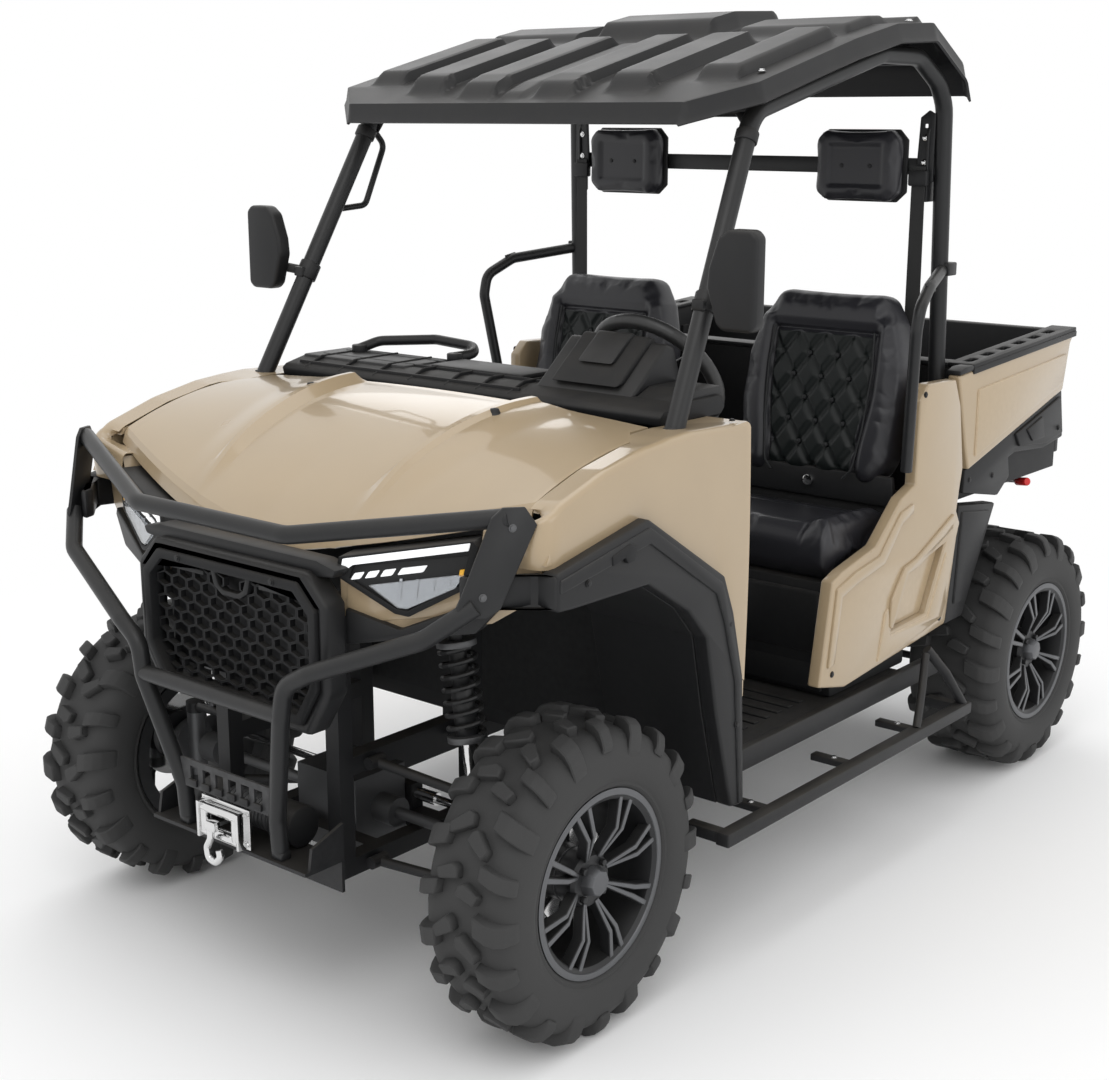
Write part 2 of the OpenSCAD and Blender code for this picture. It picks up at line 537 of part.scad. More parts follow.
// ---------------------------------------------------------------- steering
module steering_wheel() color(black) column_axis() {
    rotate_extrude($fn = 64) translate([wheel_r - 17, 0]) circle(17, $fn = 24);
    translate([0, 0, -22]) cylinder(h = 34, r = 42);
    for (a = [90, 205, 335]) rotate([0, 0, a]) translate([30, -16, -12]) cube([wheel_r - 44, 32, 14]);
    translate([0, 0, -150]) cylinder(h = 140, r = column_r);
}

module steering_rack() color(silver) {
    rod_x(-175, 175, rack_y, rack_z, 15);
    rod_x(-kingpin_x + 10, kingpin_x - 10, rack_y, rack_z, 10);
    for (s = [-1, 1]) translate([s * kingpin_x, rack_y, rack_z - 8]) cylinder(h = 16, r = 14);
}

module knuckle() color(steel_black) {
    translate([kingpin_x, fy(0), low_ball_z + 12]) cylinder(h = up_ball_z - low_ball_z - 24, r = 23);
    rod_x(kingpin_x + 10, kingpin_x + 32, fy(0), axle_z, 56);
    rod_x(kingpin_x + 30, tyre_out - 60, fy(0), axle_z, spindle_r);
    block([kingpin_x - 14, fy(10), axle_z - 30], [kingpin_x + 14, rack_y + 14, axle_z - 8]);
    block([kingpin_x + 30, fy(50), axle_z - 30], [kingpin_x + 40, fy(128), axle_z + 40]);
    block([kingpin_x + 30, fy(112), axle_z - 30], [kingpin_x + 76, fy(128), axle_z + 40]);
}
module knuckle_left() { knuckle(); }
module knuckle_right() { mirror([1, 0, 0]) knuckle(); }

// ---------------------------------------------------------------- wheels
// Modelled about the Z axis with the outer face up, then laid on its side
module on_axle(y, side) {
    translate([0, y, axle_z]) rotate([0, side * 90, 0]) children();
}

module tyre(width) {
    inner = tyre_out - width;
    lip = rim_r + 20;
    r = tyre_r;
    rotate_extrude($fn = 96) polygon([
        [rim_r, inner + 34], [rim_r, inner + 20], [lip + 2, inner + 20], [lip + 20, inner + 6], [lip + 55, inner], [r - 60, inner + 4],
        [r - 30, inner + 16], [r - 10, inner + 36], [r, inner + width * 0.28], [r, inner + width * 0.72],
        [r - 10, tyre_out - 36], [r - 30, tyre_out - 16], [r - 60, tyre_out - 4], [lip + 55, tyre_out], [lip + 20, tyre_out - 6],
        [lip + 2, tyre_out - 20], [rim_r, tyre_out - 20], [rim_r, tyre_out - 34],
        [lip + 10, tyre_out - 34], [r - 30, tyre_out - 40], [r - 22, inner + width / 2], [r - 30, inner + 40], [lip + 10, inner + 34]]);
}

module rim(width) {
    inner = tyre_out - width;
    face = tyre_out - 26;
    rotate_extrude($fn = 64) polygon([[rim_r - 12, inner + 14], [rim_r + 20, inner + 14], [rim_r + 20, inner + 20 - SEAT],
        [rim_r, inner + 20 - SEAT], [rim_r, tyre_out - 20 + SEAT], [rim_r + 20, tyre_out - 20 + SEAT], [rim_r + 20, tyre_out - 14],
        [rim_r - 12, tyre_out - 14]]);
    difference() {
        union() {
            translate([0, 0, face - 62]) cylinder(h = 56, r = 54);
            for (i = [0 : spoke_pairs - 1]) rotate([0, 0, i * 360 / spoke_pairs])
                for (s = [-1, 1]) translate([0, 0, face - 34]) linear_extrude(24)
                    polygon([[46, s * 4], [46, s * 16], [110, s * 30], [rim_r - 8, s * 34], [rim_r - 8, s * 22], [110, s * 19]]);
            translate([0, 0, face - 128]) cylinder(h = 70, r = 34);
            translate([0, 0, face - 116]) cylinder(h = 7, r = 104);
        }
        translate([0, 0, face - 130]) cylinder(h = 130 - 26, r = spindle_r + 0.05);
    }
}

module tyre_front_left() { color(black) on_axle(fy(0), 1) tyre(front_tyre_w); }
module tyre_front_right() { color(black) on_axle(fy(0), -1) tyre(front_tyre_w); }
module tyre_rear_left() { color(black) on_axle(ry(0), 1) tyre(rear_tyre_w); }
module tyre_rear_right() { color(black) on_axle(ry(0), -1) tyre(rear_tyre_w); }
module rim_front_left() { color(steel_black) on_axle(fy(0), 1) rim(front_tyre_w); }
module rim_front_right() { color(steel_black) on_axle(fy(0), -1) rim(front_tyre_w); }
module rim_rear_left() { color(steel_black) on_axle(ry(0), 1) rim(rear_tyre_w); }
module rim_rear_right() { color(steel_black) on_axle(ry(0), -1) rim(rear_tyre_w); }

chassis_frame();
floor_pan();
skid_plate();
front_bumper();
winch();
fairlead();
front_fascia();
grille();
headlights();
front_fenders();
fender_flares();
cowl();
dashboard();
instrument_pod();
grab_handles();
seat_base();
seat_cushions();
seat_backs();
roll_cage();
roof();
headrests();
seat_belts();
mirrors();
rear_quarters();
rear_side_trims();
side_steps();
engine_block();
muffler();
drive_axles();
suspension_arms();
shock_absorbers();
hitch_receiver();
bed_lever();
bonnet();
cargo_bed();
bed_side_panels();
tailgate();
steering_wheel();
steering_rack();
knuckle_left();
knuckle_right();
tyre_front_left();
tyre_front_right();
tyre_rear_left();
tyre_rear_right();
rim_front_left();
rim_front_right();
rim_rear_left();
rim_rear_right();
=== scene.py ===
"""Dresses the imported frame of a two-seat utility vehicle with visual pieces and finishes.

Sizes are in millimetres while a mesh is built and become metres when the piece is finished.
+Z is up, the front faces -Y and +X is the vehicle's left.
"""
import logging
import math
from collections import Counter
from dataclasses import dataclass, field
from enum import Enum
from typing import Callable, Iterable, Sequence

import bmesh
import bpy
from mathutils import Matrix, Vector


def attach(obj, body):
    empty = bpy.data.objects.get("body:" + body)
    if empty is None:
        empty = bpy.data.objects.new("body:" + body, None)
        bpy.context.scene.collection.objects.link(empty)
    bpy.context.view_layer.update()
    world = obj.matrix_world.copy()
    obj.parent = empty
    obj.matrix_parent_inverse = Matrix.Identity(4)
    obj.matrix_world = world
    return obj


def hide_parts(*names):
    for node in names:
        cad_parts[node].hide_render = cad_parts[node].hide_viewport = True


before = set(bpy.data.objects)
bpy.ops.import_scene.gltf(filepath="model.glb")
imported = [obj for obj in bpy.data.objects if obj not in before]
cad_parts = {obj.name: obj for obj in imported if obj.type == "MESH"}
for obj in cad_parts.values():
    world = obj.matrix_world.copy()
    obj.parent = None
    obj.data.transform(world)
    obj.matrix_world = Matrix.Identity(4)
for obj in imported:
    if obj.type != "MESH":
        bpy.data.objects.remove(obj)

LOG = logging.getLogger("utv")
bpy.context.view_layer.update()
MM = 0.001
FRONT_AXLE = -1028.0
REAR_AXLE = 1028.0
AXLE_HEIGHT = 343.0
Point = tuple[float, float, float]
Flat = tuple[float, float]


class Axis(Enum):
    """Direction in which an outline is thickened."""

    X = 0
    Y = 1
    Z = 2


class Texture(Enum):
    """Kind of surface that a finish has."""

    MOULDED = "moulded"
    PAINT = "paint"
    METAL = "metal"
    RUBBER = "rubber"
    VINYL = "vinyl"
    WEBBING = "webbing"
    GLASS = "glass"
    LIGHT = "light"


# ------------------------------------------------------------------ shared effects


def _group(name: str, inputs: dict[str, tuple[str, object]], outputs: dict[str, str]) -> bpy.types.NodeTree:
    """Makes an empty shader node group with named sockets.

    Args:
        name: Name of the group.
        inputs: Socket name to (socket type, default value).
        outputs: Socket name to socket type.

    Returns:
        The node tree, with its input and output nodes placed.
    """
    tree = bpy.data.node_groups.new(name, "ShaderNodeTree")
    for label, (kind, value) in inputs.items():
        socket = tree.interface.new_socket(label, in_out="INPUT", socket_type=kind)
        if value is not None:
            socket.default_value = value
    for label, kind in outputs.items():
        tree.interface.new_socket(label, in_out="OUTPUT", socket_type=kind)
    tree.nodes.new("NodeGroupInput").name = "in"
    tree.nodes.new("NodeGroupOutput").name = "out"
    return tree


def _math(tree: bpy.types.NodeTree, operation: str, a: object, b: object = None) -> bpy.types.NodeSocket:
    """Adds one Math node.

    Args:
        tree: Tree that gets the node.
        operation: Name of the Math operation.
        a: First operand, a socket or a number.
        b: Second operand, a socket, a number or None.

    Returns:
        The node's output socket.
    """
    node = tree.nodes.new("ShaderNodeMath")
    node.operation = operation
    for index, value in enumerate((a, b)):
        if isinstance(value, bpy.types.NodeSocket):
            tree.links.new(value, node.inputs[index])
        elif value is not None:
            node.inputs[index].default_value = value
    return node.outputs[0]


def _mix(tree: bpy.types.NodeTree, factor: object, a: object, b: object) -> bpy.types.NodeSocket:
    """Mixes two colours.

    Args:
        tree: Tree that gets the node.
        factor: Mix factor, a socket or a number.
        a: Colour at factor 0, a socket or a colour.
        b: Colour at factor 1, a socket or a colour.

    Returns:
        The mixed colour's socket.
    """
    node = tree.nodes.new("ShaderNodeMix")
    node.data_type = "RGBA"
    for index, value in ((0, factor), (6, a), (7, b)):
        if isinstance(value, bpy.types.NodeSocket):
            tree.links.new(value, node.inputs[index])
        else:
            node.inputs[index].default_value = value
    return node.outputs[2]


def grain_group() -> bpy.types.NodeTree:
    """Builds the fine grain that moulded, painted and rubber surfaces share.

    Returns:
        A group that puts out Height, Roughness and Shade.
    """
    tree = _group("surface_grain", {"Vector": ("NodeSocketVector", None), "Scale": ("NodeSocketFloat",
                                        900.0), "Roughness": ("NodeSocketFloat", 0.5),
                                    "Spread": ("NodeSocketFloat", 0.1)},
                  {"Height": "NodeSocketFloat", "Roughness": "NodeSocketFloat", "Shade": "NodeSocketFloat"})
    inn, out = tree.nodes["in"], tree.nodes["out"]
    fine = tree.nodes.new("ShaderNodeTexNoise")
    fine.inputs["Detail"].default_value = 3.0
    tree.links.new(inn.outputs["Vector"], fine.inputs["Vector"])
    tree.links.new(inn.outputs["Scale"], fine.inputs["Scale"])
    broad = tree.nodes.new("ShaderNodeTexNoise")
    broad.inputs["Scale"].default_value = 7.0
    broad.inputs["Detail"].default_value = 4.0
    tree.links.new(inn.outputs["Vector"], broad.inputs["Vector"])
    tree.links.new(fine.outputs["Fac"], out.inputs["Height"])
    centred = _math(tree, "SUBTRACT", broad.outputs["Fac"], 0.5)
    swing = _math(tree, "MULTIPLY", centred, inn.outputs["Spread"])
    tree.links.new(_math(tree, "ADD", swing, inn.outputs["Roughness"]), out.inputs["Roughness"])
    tree.links.new(broad.outputs["Fac"], out.inputs["Shade"])
    return tree


def dust_group() -> bpy.types.NodeTree:
    """Builds the thin film of dust that settles on faces that look up.

    Returns:
        A group that puts out the dusted Color.
    """
    tree = _group("dust_film", {"Vector": ("NodeSocketVector", None), "Color": ("NodeSocketColor", None),
                                "Dust": ("NodeSocketColor", (0.32, 0.28, 0.22, 1.0)),
                                "Amount": ("NodeSocketFloat", 0.1)}, {"Color": "NodeSocketColor"})
    inn, out = tree.nodes["in"], tree.nodes["out"]
    facing = tree.nodes.new("ShaderNodeNewGeometry")
    split = tree.nodes.new("ShaderNodeSeparateXYZ")
    tree.links.new(facing.outputs["Normal"], split.inputs[0])
    cloud = tree.nodes.new("ShaderNodeTexNoise")
    cloud.inputs["Scale"].default_value = 16.0
    cloud.inputs["Detail"].default_value = 5.0
    tree.links.new(inn.outputs["Vector"], cloud.inputs["Vector"])
    up = _math(tree, "MAXIMUM", split.outputs["Z"], 0.0)
    patch = _math(tree, "MULTIPLY", up, cloud.outputs["Fac"])
    amount = _math(tree, "MULTIPLY", patch, inn.outputs["Amount"])
    tree.links.new(_mix(tree, amount, inn.outputs["Color"], inn.outputs["Dust"]), out.inputs["Color"])
    return tree


def wear_and_highlight_group() -> bpy.types.NodeTree:
    """Builds the lighter marks along sharp convex edges: rub marks, and on the sand paint a painted highlight
    along its creases.

    Returns:
        A group that puts out the Color with worn and highlighted edges.
    """
    tree = _group("edge_wear_and_highlight", {"Vector": ("NodeSocketVector", None), "Color": ("NodeSocketColor", None),
                                "Worn_and_Highlight": ("NodeSocketColor", (0.3, 0.3, 0.3, 1.0)),
                                "Amount": ("NodeSocketFloat", 0.2)}, {"Color": "NodeSocketColor"})
    inn, out = tree.nodes["in"], tree.nodes["out"]
    shape = tree.nodes.new("ShaderNodeNewGeometry")
    edge_patches = tree.nodes.new("ShaderNodeTexNoise")
    edge_patches.inputs["Scale"].default_value = 55.0
    edge_patches.inputs["Detail"].default_value = 6.0
    tree.links.new(inn.outputs["Vector"], edge_patches.inputs["Vector"])
    # Pointiness lightens convex edges: rub wear, and a painted highlight along creases where the amount is
    # high.
    ridge = _math(tree, "MULTIPLY", _math(tree, "SUBTRACT", shape.outputs["Pointiness"], 0.52), 9.0)
    rub_and_highlight_mask = _math(tree, "MULTIPLY", _math(tree, "MAXIMUM", ridge, 0.0), edge_patches.outputs["Fac"])
    amount = _math(tree, "MINIMUM", _math(tree, "MULTIPLY", rub_and_highlight_mask, inn.outputs["Amount"]), 0.8)
    tree.links.new(_mix(tree, amount, inn.outputs["Color"], inn.outputs["Worn_and_Highlight"]), out.inputs["Color"])
    return tree


GROUPS: dict[str, bpy.types.NodeTree] = {}


@dataclass(frozen=True)
class Finish:
    """A finish: its colour, its gloss and the texture that the surface has."""

    name: str
    colour: Point
    texture: Texture = Texture.MOULDED
    roughness: float = 0.5
    metallic: float = 0.0
    coat: float = 0.0
    specular: float = 0.5
    grain_scale: float = 900.0
    bump: float = 0.08
    spread: float = 0.12
    dust: float = 0.12
    # Share of lighter colour on sharp edges: rub wear, and a painted highlight where set high.
    wear_and_highlight: float = 0.25
    glow: float = 0.0
    slot: str = "black_plastic"

    def material(self) -> bpy.types.Material:
        """Makes the material, or returns it if it is already made.

        Returns:
            The material.
        """
        made = bpy.data.materials.get(self.name)
        if made is not None:
            return made
        mat = bpy.data.materials.new(self.name)
        mat.use_nodes = True
        tree = mat.node_tree
        shader = tree.nodes["Principled BSDF"]
        shader.inputs["Metallic"].default_value = self.metallic
        shader.inputs["Coat Weight"].default_value = self.coat
        shader.inputs["Coat Roughness"].default_value = 0.06
        shader.inputs["Specular IOR Level"].default_value = self.specular
        if self.texture is Texture.GLASS:
            shader.inputs["Transmission Weight"].default_value = 0.86
        place = tree.nodes.new("ShaderNodeTexCoord").outputs["Object"]
        grain = self._place_group(tree, "surface_grain", place)
        grain.inputs["Scale"].default_value = self.grain_scale
        grain.inputs["Roughness"].default_value = self.roughness
        grain.inputs["Spread"].default_value = self.spread
        tree.links.new(grain.outputs["Roughness"], shader.inputs["Roughness"])
        base = (*self.colour, 1.0)
        deep = (*(c * 0.9 for c in self.colour), 1.0)
        colour = _mix(tree, grain.outputs["Shade"], deep, base)
        if self.texture is Texture.LIGHT:
            tree.links.new(colour, shader.inputs["Base Color"])
            tree.links.new(colour, shader.inputs["Emission Color"])
            shader.inputs["Emission Strength"].default_value = self.glow
            return mat
        colour = self._dressed(tree, place, colour)
        tree.links.new(colour, shader.inputs["Base Color"])
        height = self._height(tree, place, grain.outputs["Height"])
        bump = tree.nodes.new("ShaderNodeBump")
        bump.inputs["Strength"].default_value = self.bump
        bump.inputs["Distance"].default_value = 0.0006
        tree.links.new(height, bump.inputs["Height"])
        tree.links.new(bump.outputs["Normal"], shader.inputs["Normal"])
        return mat

    def _place_group(self, tree: bpy.types.NodeTree, name: str,
                     place: bpy.types.NodeSocket) -> bpy.types.Node:
        """Places a shared group in the material.

        Args:
            tree: The material's tree.
            name: Name of the shared group.
            place: Coordinates that the group reads.

        Returns:
            The group's node.
        """
        node = tree.nodes.new("ShaderNodeGroup")
        node.node_tree = GROUPS[name]
        tree.links.new(place, node.inputs["Vector"])
        return node

    def _dressed(self, tree: bpy.types.NodeTree, place: bpy.types.NodeSocket,
                 colour: bpy.types.NodeSocket) -> bpy.types.NodeSocket:
        """Adds edge wear, with a painted highlight along sharp edges, and dust to a colour.

        Args:
            tree: The material's tree.
            place: Coordinates that the effects read.
            colour: The clean colour.

        Returns:
            The dressed colour's socket.
        """
        wear_and_highlight = self._place_group(tree, "edge_wear_and_highlight", place)
        wear_and_highlight.inputs["Amount"].default_value = self.wear_and_highlight
        # The lighter edge colour stands for rub wear, and on the sand paint for a painted highlight.
        wear_and_highlight.inputs["Worn_and_Highlight"].default_value = (*(min(1.0, c * 1.5 + 0.05) for c in self.colour), 1.0)
        tree.links.new(colour, wear_and_highlight.inputs["Color"])
        dust = self._place_group(tree, "dust_film", place)
        dust.inputs["Amount"].default_value = self.dust
        tree.links.new(wear_and_highlight.outputs["Color"], dust.inputs["Color"])
        return dust.outputs["Color"]

    def _height(self, tree: bpy.types.NodeTree, place: bpy.types.NodeSocket,
                grain: bpy.types.NodeSocket) -> bpy.types.NodeSocket:
        """Chooses the relief for this texture.

        Args:
            tree: The material's tree.
            place: Coordinates that the relief reads.
            grain: Height of the fine grain.

        Returns:
            The height socket.
        """
        if self.texture is Texture.VINYL:
            cells = tree.nodes.new("ShaderNodeTexVoronoi")
            cells.feature = "DISTANCE_TO_EDGE"
            cells.inputs["Scale"].default_value = 420.0
            tree.links.new(place, cells.inputs["Vector"])
            crease = _math(tree, "MULTIPLY", _math(tree, "MINIMUM", cells.outputs["Distance"], 0.12), 5.0)
            return _math(tree, "ADD", crease, _math(tree, "MULTIPLY", grain, 0.3))
        if self.texture is Texture.WEBBING:
            total = None
            for direction in ("Z", "DIAGONAL"):
                wave = tree.nodes.new("ShaderNodeTexWave")
                wave.bands_direction = direction
                wave.inputs["Scale"].default_value = 260.0
                tree.links.new(place, wave.inputs["Vector"])
                total = wave.outputs["Fac"] if total is None else _math(tree, "ADD", total,
                        wave.outputs["Fac"])
            return total
        return grain


# On the sand paint the edge lightening is set high (0.4) to paint a highlight along the crease edges.
SAND = Finish("sand_paint", (0.405, 0.307, 0.19), Texture.PAINT, roughness=0.3, coat=0.65, bump=0.02,
              dust=0.05, wear_and_highlight=0.4, slot="sand_panel")
BLACK = Finish("black_moulded", (0.0125, 0.0128, 0.0138), roughness=0.46, specular=0.3, bump=0.1, dust=0.07)
BLACK_GRAIN = Finish("black_grained", (0.0105, 0.0108, 0.0118), roughness=0.6, specular=0.25,
                     grain_scale=500.0, bump=0.3, dust=0.08)
ROOF_BLACK = Finish("roof_moulded", (0.0135, 0.0138, 0.015), roughness=0.46, specular=0.3,
                    grain_scale=420.0, bump=0.22, dust=0.06)
TUBE_BLACK = Finish("tube_coating", (0.0125, 0.013, 0.014), roughness=0.4, specular=0.36, grain_scale=700.0,
                    bump=0.1, dust=0.06, slot="steel_black")
FRAME_BLACK = Finish("frame_coating", (0.0125, 0.0128, 0.014), roughness=0.5, specular=0.32, bump=0.1,
                     slot="steel_black")
RUBBER = Finish("tyre_rubber", (0.033, 0.033, 0.034), Texture.RUBBER, roughness=0.68, grain_scale=600.0,
                bump=0.22, dust=0.12, wear_and_highlight=0.3, slot="tyre_rubber")
ALLOY_DARK = Finish("alloy_dark", (0.02, 0.0205, 0.022), roughness=0.42, metallic=0.4, bump=0.04, dust=0.04,
                    slot="rim_alloy")
ALLOY_FACE = Finish("alloy_face", (0.13, 0.133, 0.14), Texture.METAL, roughness=0.4, metallic=0.75,
                    bump=0.03, dust=0.03, slot="rim_alloy")
STEEL = Finish("bright_steel", (0.62, 0.63, 0.65), Texture.METAL, roughness=0.26, metallic=0.95, bump=0.05,
               dust=0.04, slot="bright_steel")
GREY_METAL = Finish("cast_grey", (0.12, 0.122, 0.126), Texture.METAL, roughness=0.52, metallic=0.7,
                    grain_scale=300.0, bump=0.3, slot="engine_grey")
VINYL = Finish("seat_vinyl", (0.0065, 0.0066, 0.007), Texture.VINYL, roughness=0.42, specular=0.24,
               bump=0.24, dust=0.02, wear_and_highlight=0.0, slot="seat_vinyl")
QUILT = Finish("seat_quilting", (0.0085, 0.0112, 0.011), Texture.VINYL, roughness=0.4, specular=0.3,
               bump=0.24, dust=0.02, wear_and_highlight=0.0, slot="seat_vinyl")
PIPING = Finish("seat_piping", (0.02, 0.021, 0.022), Texture.VINYL, roughness=0.5, specular=0.3, bump=0.1,
                dust=0.0, wear_and_highlight=0.0, slot="seat_vinyl")
BELT = Finish("belt_webbing", (0.012, 0.012, 0.013), Texture.WEBBING, roughness=0.8, bump=0.5, dust=0.05,
              wear_and_highlight=0.0, slot="belt_webbing")
RED = Finish("lever_red", (0.62, 0.015, 0.012), roughness=0.35, bump=0.03, dust=0.03, slot="lever_red")
LENS = Finish("lamp_lens", (0.92, 0.94, 0.96), Texture.GLASS, roughness=0.05, spread=0.0, bump=0.0,
              dust=0.0, wear_and_highlight=0.0, slot="headlight")
REFLECTOR = Finish("lamp_reflector", (0.55, 0.57, 0.6), Texture.METAL, roughness=0.22, metallic=0.8,
                   dust=0.0, wear_and_highlight=0.0, slot="headlight")
LAMP_WHITE = Finish("lamp_white", (0.95, 0.96, 0.97), Texture.LIGHT, roughness=0.3, glow=0.55,
                    slot="headlight")
AMBER = Finish("lamp_amber", (0.8, 0.42, 0.03), Texture.LIGHT, roughness=0.3, glow=0.25, slot="headlight")
TAIL_RED = Finish("tail_lens", (0.4, 0.01, 0.01), Texture.PAINT, roughness=0.15, coat=0.6, dust=0.02,
                  wear_and_highlight=0.0, slot="lever_red")
GRIP = Finish("wheel_grip", (0.0105, 0.0107, 0.0114), Texture.RUBBER, roughness=0.55, specular=0.3,
              grain_scale=800.0, bump=0.25, dust=0.02, slot="wheel_grip")


# ------------------------------------------------------------------ mesh shop


class Piece:
    """One visual piece while it is being built in millimetres."""

    def __init__(self, name: str, body: str = "root") -> None:
        """Starts an empty piece.

        Args:
            name: Name of the finished object.
            body: Body that it rides on.
        """
        self.name = name
        self.body = body
        self.mesh = bmesh.new()
        self.finishes: list[Finish] = []

    def _mark(self, start: int, finish: Finish) -> None:
        """Gives the faces made since start a finish.

        Args:
            start: Number of faces before they were made.
            finish: The finish that they get.
        """
        if finish not in self.finishes:
            self.finishes.append(finish)
        slot = self.finishes.index(finish)
        self.mesh.faces.ensure_lookup_table()
        for face in self.mesh.faces[start:]:
            face.material_index = slot

    def _absorb(self, other: bmesh.types.BMesh, finish: Finish) -> None:
        """Adds a finished part to the piece and frees it.

        Args:
            other: The part's mesh.
            finish: The part's finish.
        """
        store = bpy.data.meshes.new("part")
        other.to_mesh(store)
        other.free()
        start = len(self.mesh.faces)
        self.mesh.from_mesh(store)
        bpy.data.meshes.remove(store)
        self._mark(start, finish)

    def plate(self, finish: Finish, axis: Axis, lo: float, hi: float, points: Sequence[Flat],
              bevel: float = 2.0, segments: int = 2, place: Matrix | None = None, mirrored: bool = False,
              hole: Sequence[Sequence[Flat]] = ()) -> None:
        """Adds an extruded outline with rounded edges.

        Args:
            finish: Finish of the plate.
            axis: Direction of the thickness.
            lo: Start of the thickness.
            hi: End of the thickness.
            points: Outline, as (y, z) for X, (x, z) for Y and (x, y) for Z.
            bevel: Radius of the rounded edges, or 0.
            segments: Steps in each rounding.
            place: Transform applied to the plate.
            mirrored: Whether a copy is added across the centre plane.
            hole: Outlines cut through the plate.
        """
        part = bmesh.new()
        order = {Axis.X: lambda a, b: (lo, a, b), Axis.Y: lambda a, b: (a, lo, b), Axis.Z: lambda a, b: (a,
                     b, lo)}[axis]
        if hole:
            edges = []
            for ring in (points, *hole):
                corners = [part.verts.new(order(*p)) for p in ring]
                edges += [part.edges.new((a, b)) for a, b in zip(corners, corners[1:] + corners[:1])]
            bmesh.ops.triangle_fill(part, use_beauty=True, use_dissolve=True, edges=edges)
        else:
            part.faces.new([part.verts.new(order(*p)) for p in points])
        grown = bmesh.ops.extrude_face_region(part, geom=list(part.faces))
        shift = [0.0, 0.0, 0.0]
        shift[axis.value] = hi - lo
        bmesh.ops.translate(part, vec=shift, verts=[v for v in grown["geom"] if isinstance(v,
                                                        bmesh.types.BMVert)])
        bmesh.ops.recalc_face_normals(part, faces=part.faces)
        if bevel > 0:
            sharp = [e for e in part.edges if len(e.link_faces) == 2 and e.calc_face_angle(0) > 0.35]
            bmesh.ops.bevel(part, geom=sharp, offset=bevel, offset_type="OFFSET", affect="EDGES",
                            segments=segments, profile=0.5, material=-1, clamp_overlap=True)
        self._place(part, place)
        if mirrored:
            self._mirror(part)
        self._absorb(part, finish)

    def block(self, finish: Finish, lo: Point, hi: Point, bevel: float = 2.0, segments: int = 2,
              place: Matrix | None = None, mirrored: bool = False) -> None:
        """Adds a rounded block between two corners.

        Args:
            finish: Finish of the block.
            lo: Lowest corner.
            hi: Highest corner.
            bevel: Radius of the rounded edges.
            segments: Steps in each rounding.
            place: Transform applied to the block.
            mirrored: Whether a copy is added across the centre plane.
        """
        outline = [(lo[1], lo[2]), (hi[1], lo[2]), (hi[1], hi[2]), (lo[1], hi[2])]
        self.plate(finish, Axis.X, lo[0], hi[0], outline, bevel, segments, place, mirrored)

    def rod(self, finish: Finish, a: Point, b: Point, radius: float, steps: int = 24, bevel: float = 1.0,
            mirrored: bool = False, end_radius: float | None = None) -> None:
        """Adds a round bar between two points.

        Args:
            finish: Finish of the bar.
            a: First end.
            b: Second end.
            radius: Radius at the first end.
            steps: Sides around the bar.
            bevel: Radius of the rounded rims, or 0.
            mirrored: Whether a copy is added across the centre plane.
            end_radius: Radius at the second end, if it differs.
        """
        part = bmesh.new()
        run = Vector(b) - Vector(a)
        bmesh.ops.create_cone(part, cap_ends=True, segments=steps, radius1=radius,
                              radius2=radius if end_radius is None else end_radius, depth=run.length)
        if bevel > 0:
            rims = [e for e in part.edges if any(len(f.verts) > 4 for f in e.link_faces)]
            bmesh.ops.bevel(part, geom=rims, offset=bevel, offset_type="OFFSET", affect="EDGES", segments=2,
                            profile=0.5, material=-1, clamp_overlap=True)
        turn = Vector((0, 0, 1)).rotation_difference(run.normalized()).to_matrix().to_4x4()
        self._place(part, Matrix.Translation((Vector(a) + Vector(b)) / 2) @ turn)
        if mirrored:
            self._mirror(part)
        self._absorb(part, finish)

    def pipe(self, finish: Finish, path: Sequence[Point], radius: float, bend: float = 60.0, steps: int = 16,
             mirrored: bool = False, closed: bool = False, squash: float = 1.0) -> None:
        """Sweeps a ring along a path whose corners are rounded.

        Args:
            finish: Finish of the tube.
            path: Corner points of the tube.
            radius: Radius of the tube.
            bend: Radius of the bends.
            steps: Sides around the tube.
            mirrored: Whether a copy is added across the centre plane.
            closed: Whether the path is a loop.
            squash: Flattening of the ring along its second axis.
        """
        line = rounded(path, bend, closed)
        part = bmesh.new()
        count = len(line)
        frames = _carry_frames(line, closed)
        ring = bmesh.ops.create_circle(part, cap_ends=False, segments=steps, radius=radius)["verts"]
        bmesh.ops.scale(part, vec=(1.0, squash, 1.0), verts=ring)
        home = frames[0]
        bmesh.ops.transform(part, matrix=home, verts=ring)
        first = list(part.edges)
        edges, before = first, home
        for here in frames[1:]:
            grown = bmesh.ops.extrude_edge_only(part, edges=edges)["geom"]
            verts = [g for g in grown if isinstance(g, bmesh.types.BMVert)]
            edges = [g for g in grown if isinstance(g, bmesh.types.BMEdge) and all(v in set(verts)
                         for v in g.verts)]
            bmesh.ops.transform(part, matrix=here @ before.inverted(), verts=verts)
            before = here
        if closed and count > 2:
            bmesh.ops.bridge_loops(part, edges=edges + first)
        else:
            bmesh.ops.holes_fill(part, edges=[e for e in part.edges if e.is_boundary], sides=0)
        bmesh.ops.recalc_face_normals(part, faces=part.faces)
        if mirrored:
            self._mirror(part)
        self._absorb(part, finish)

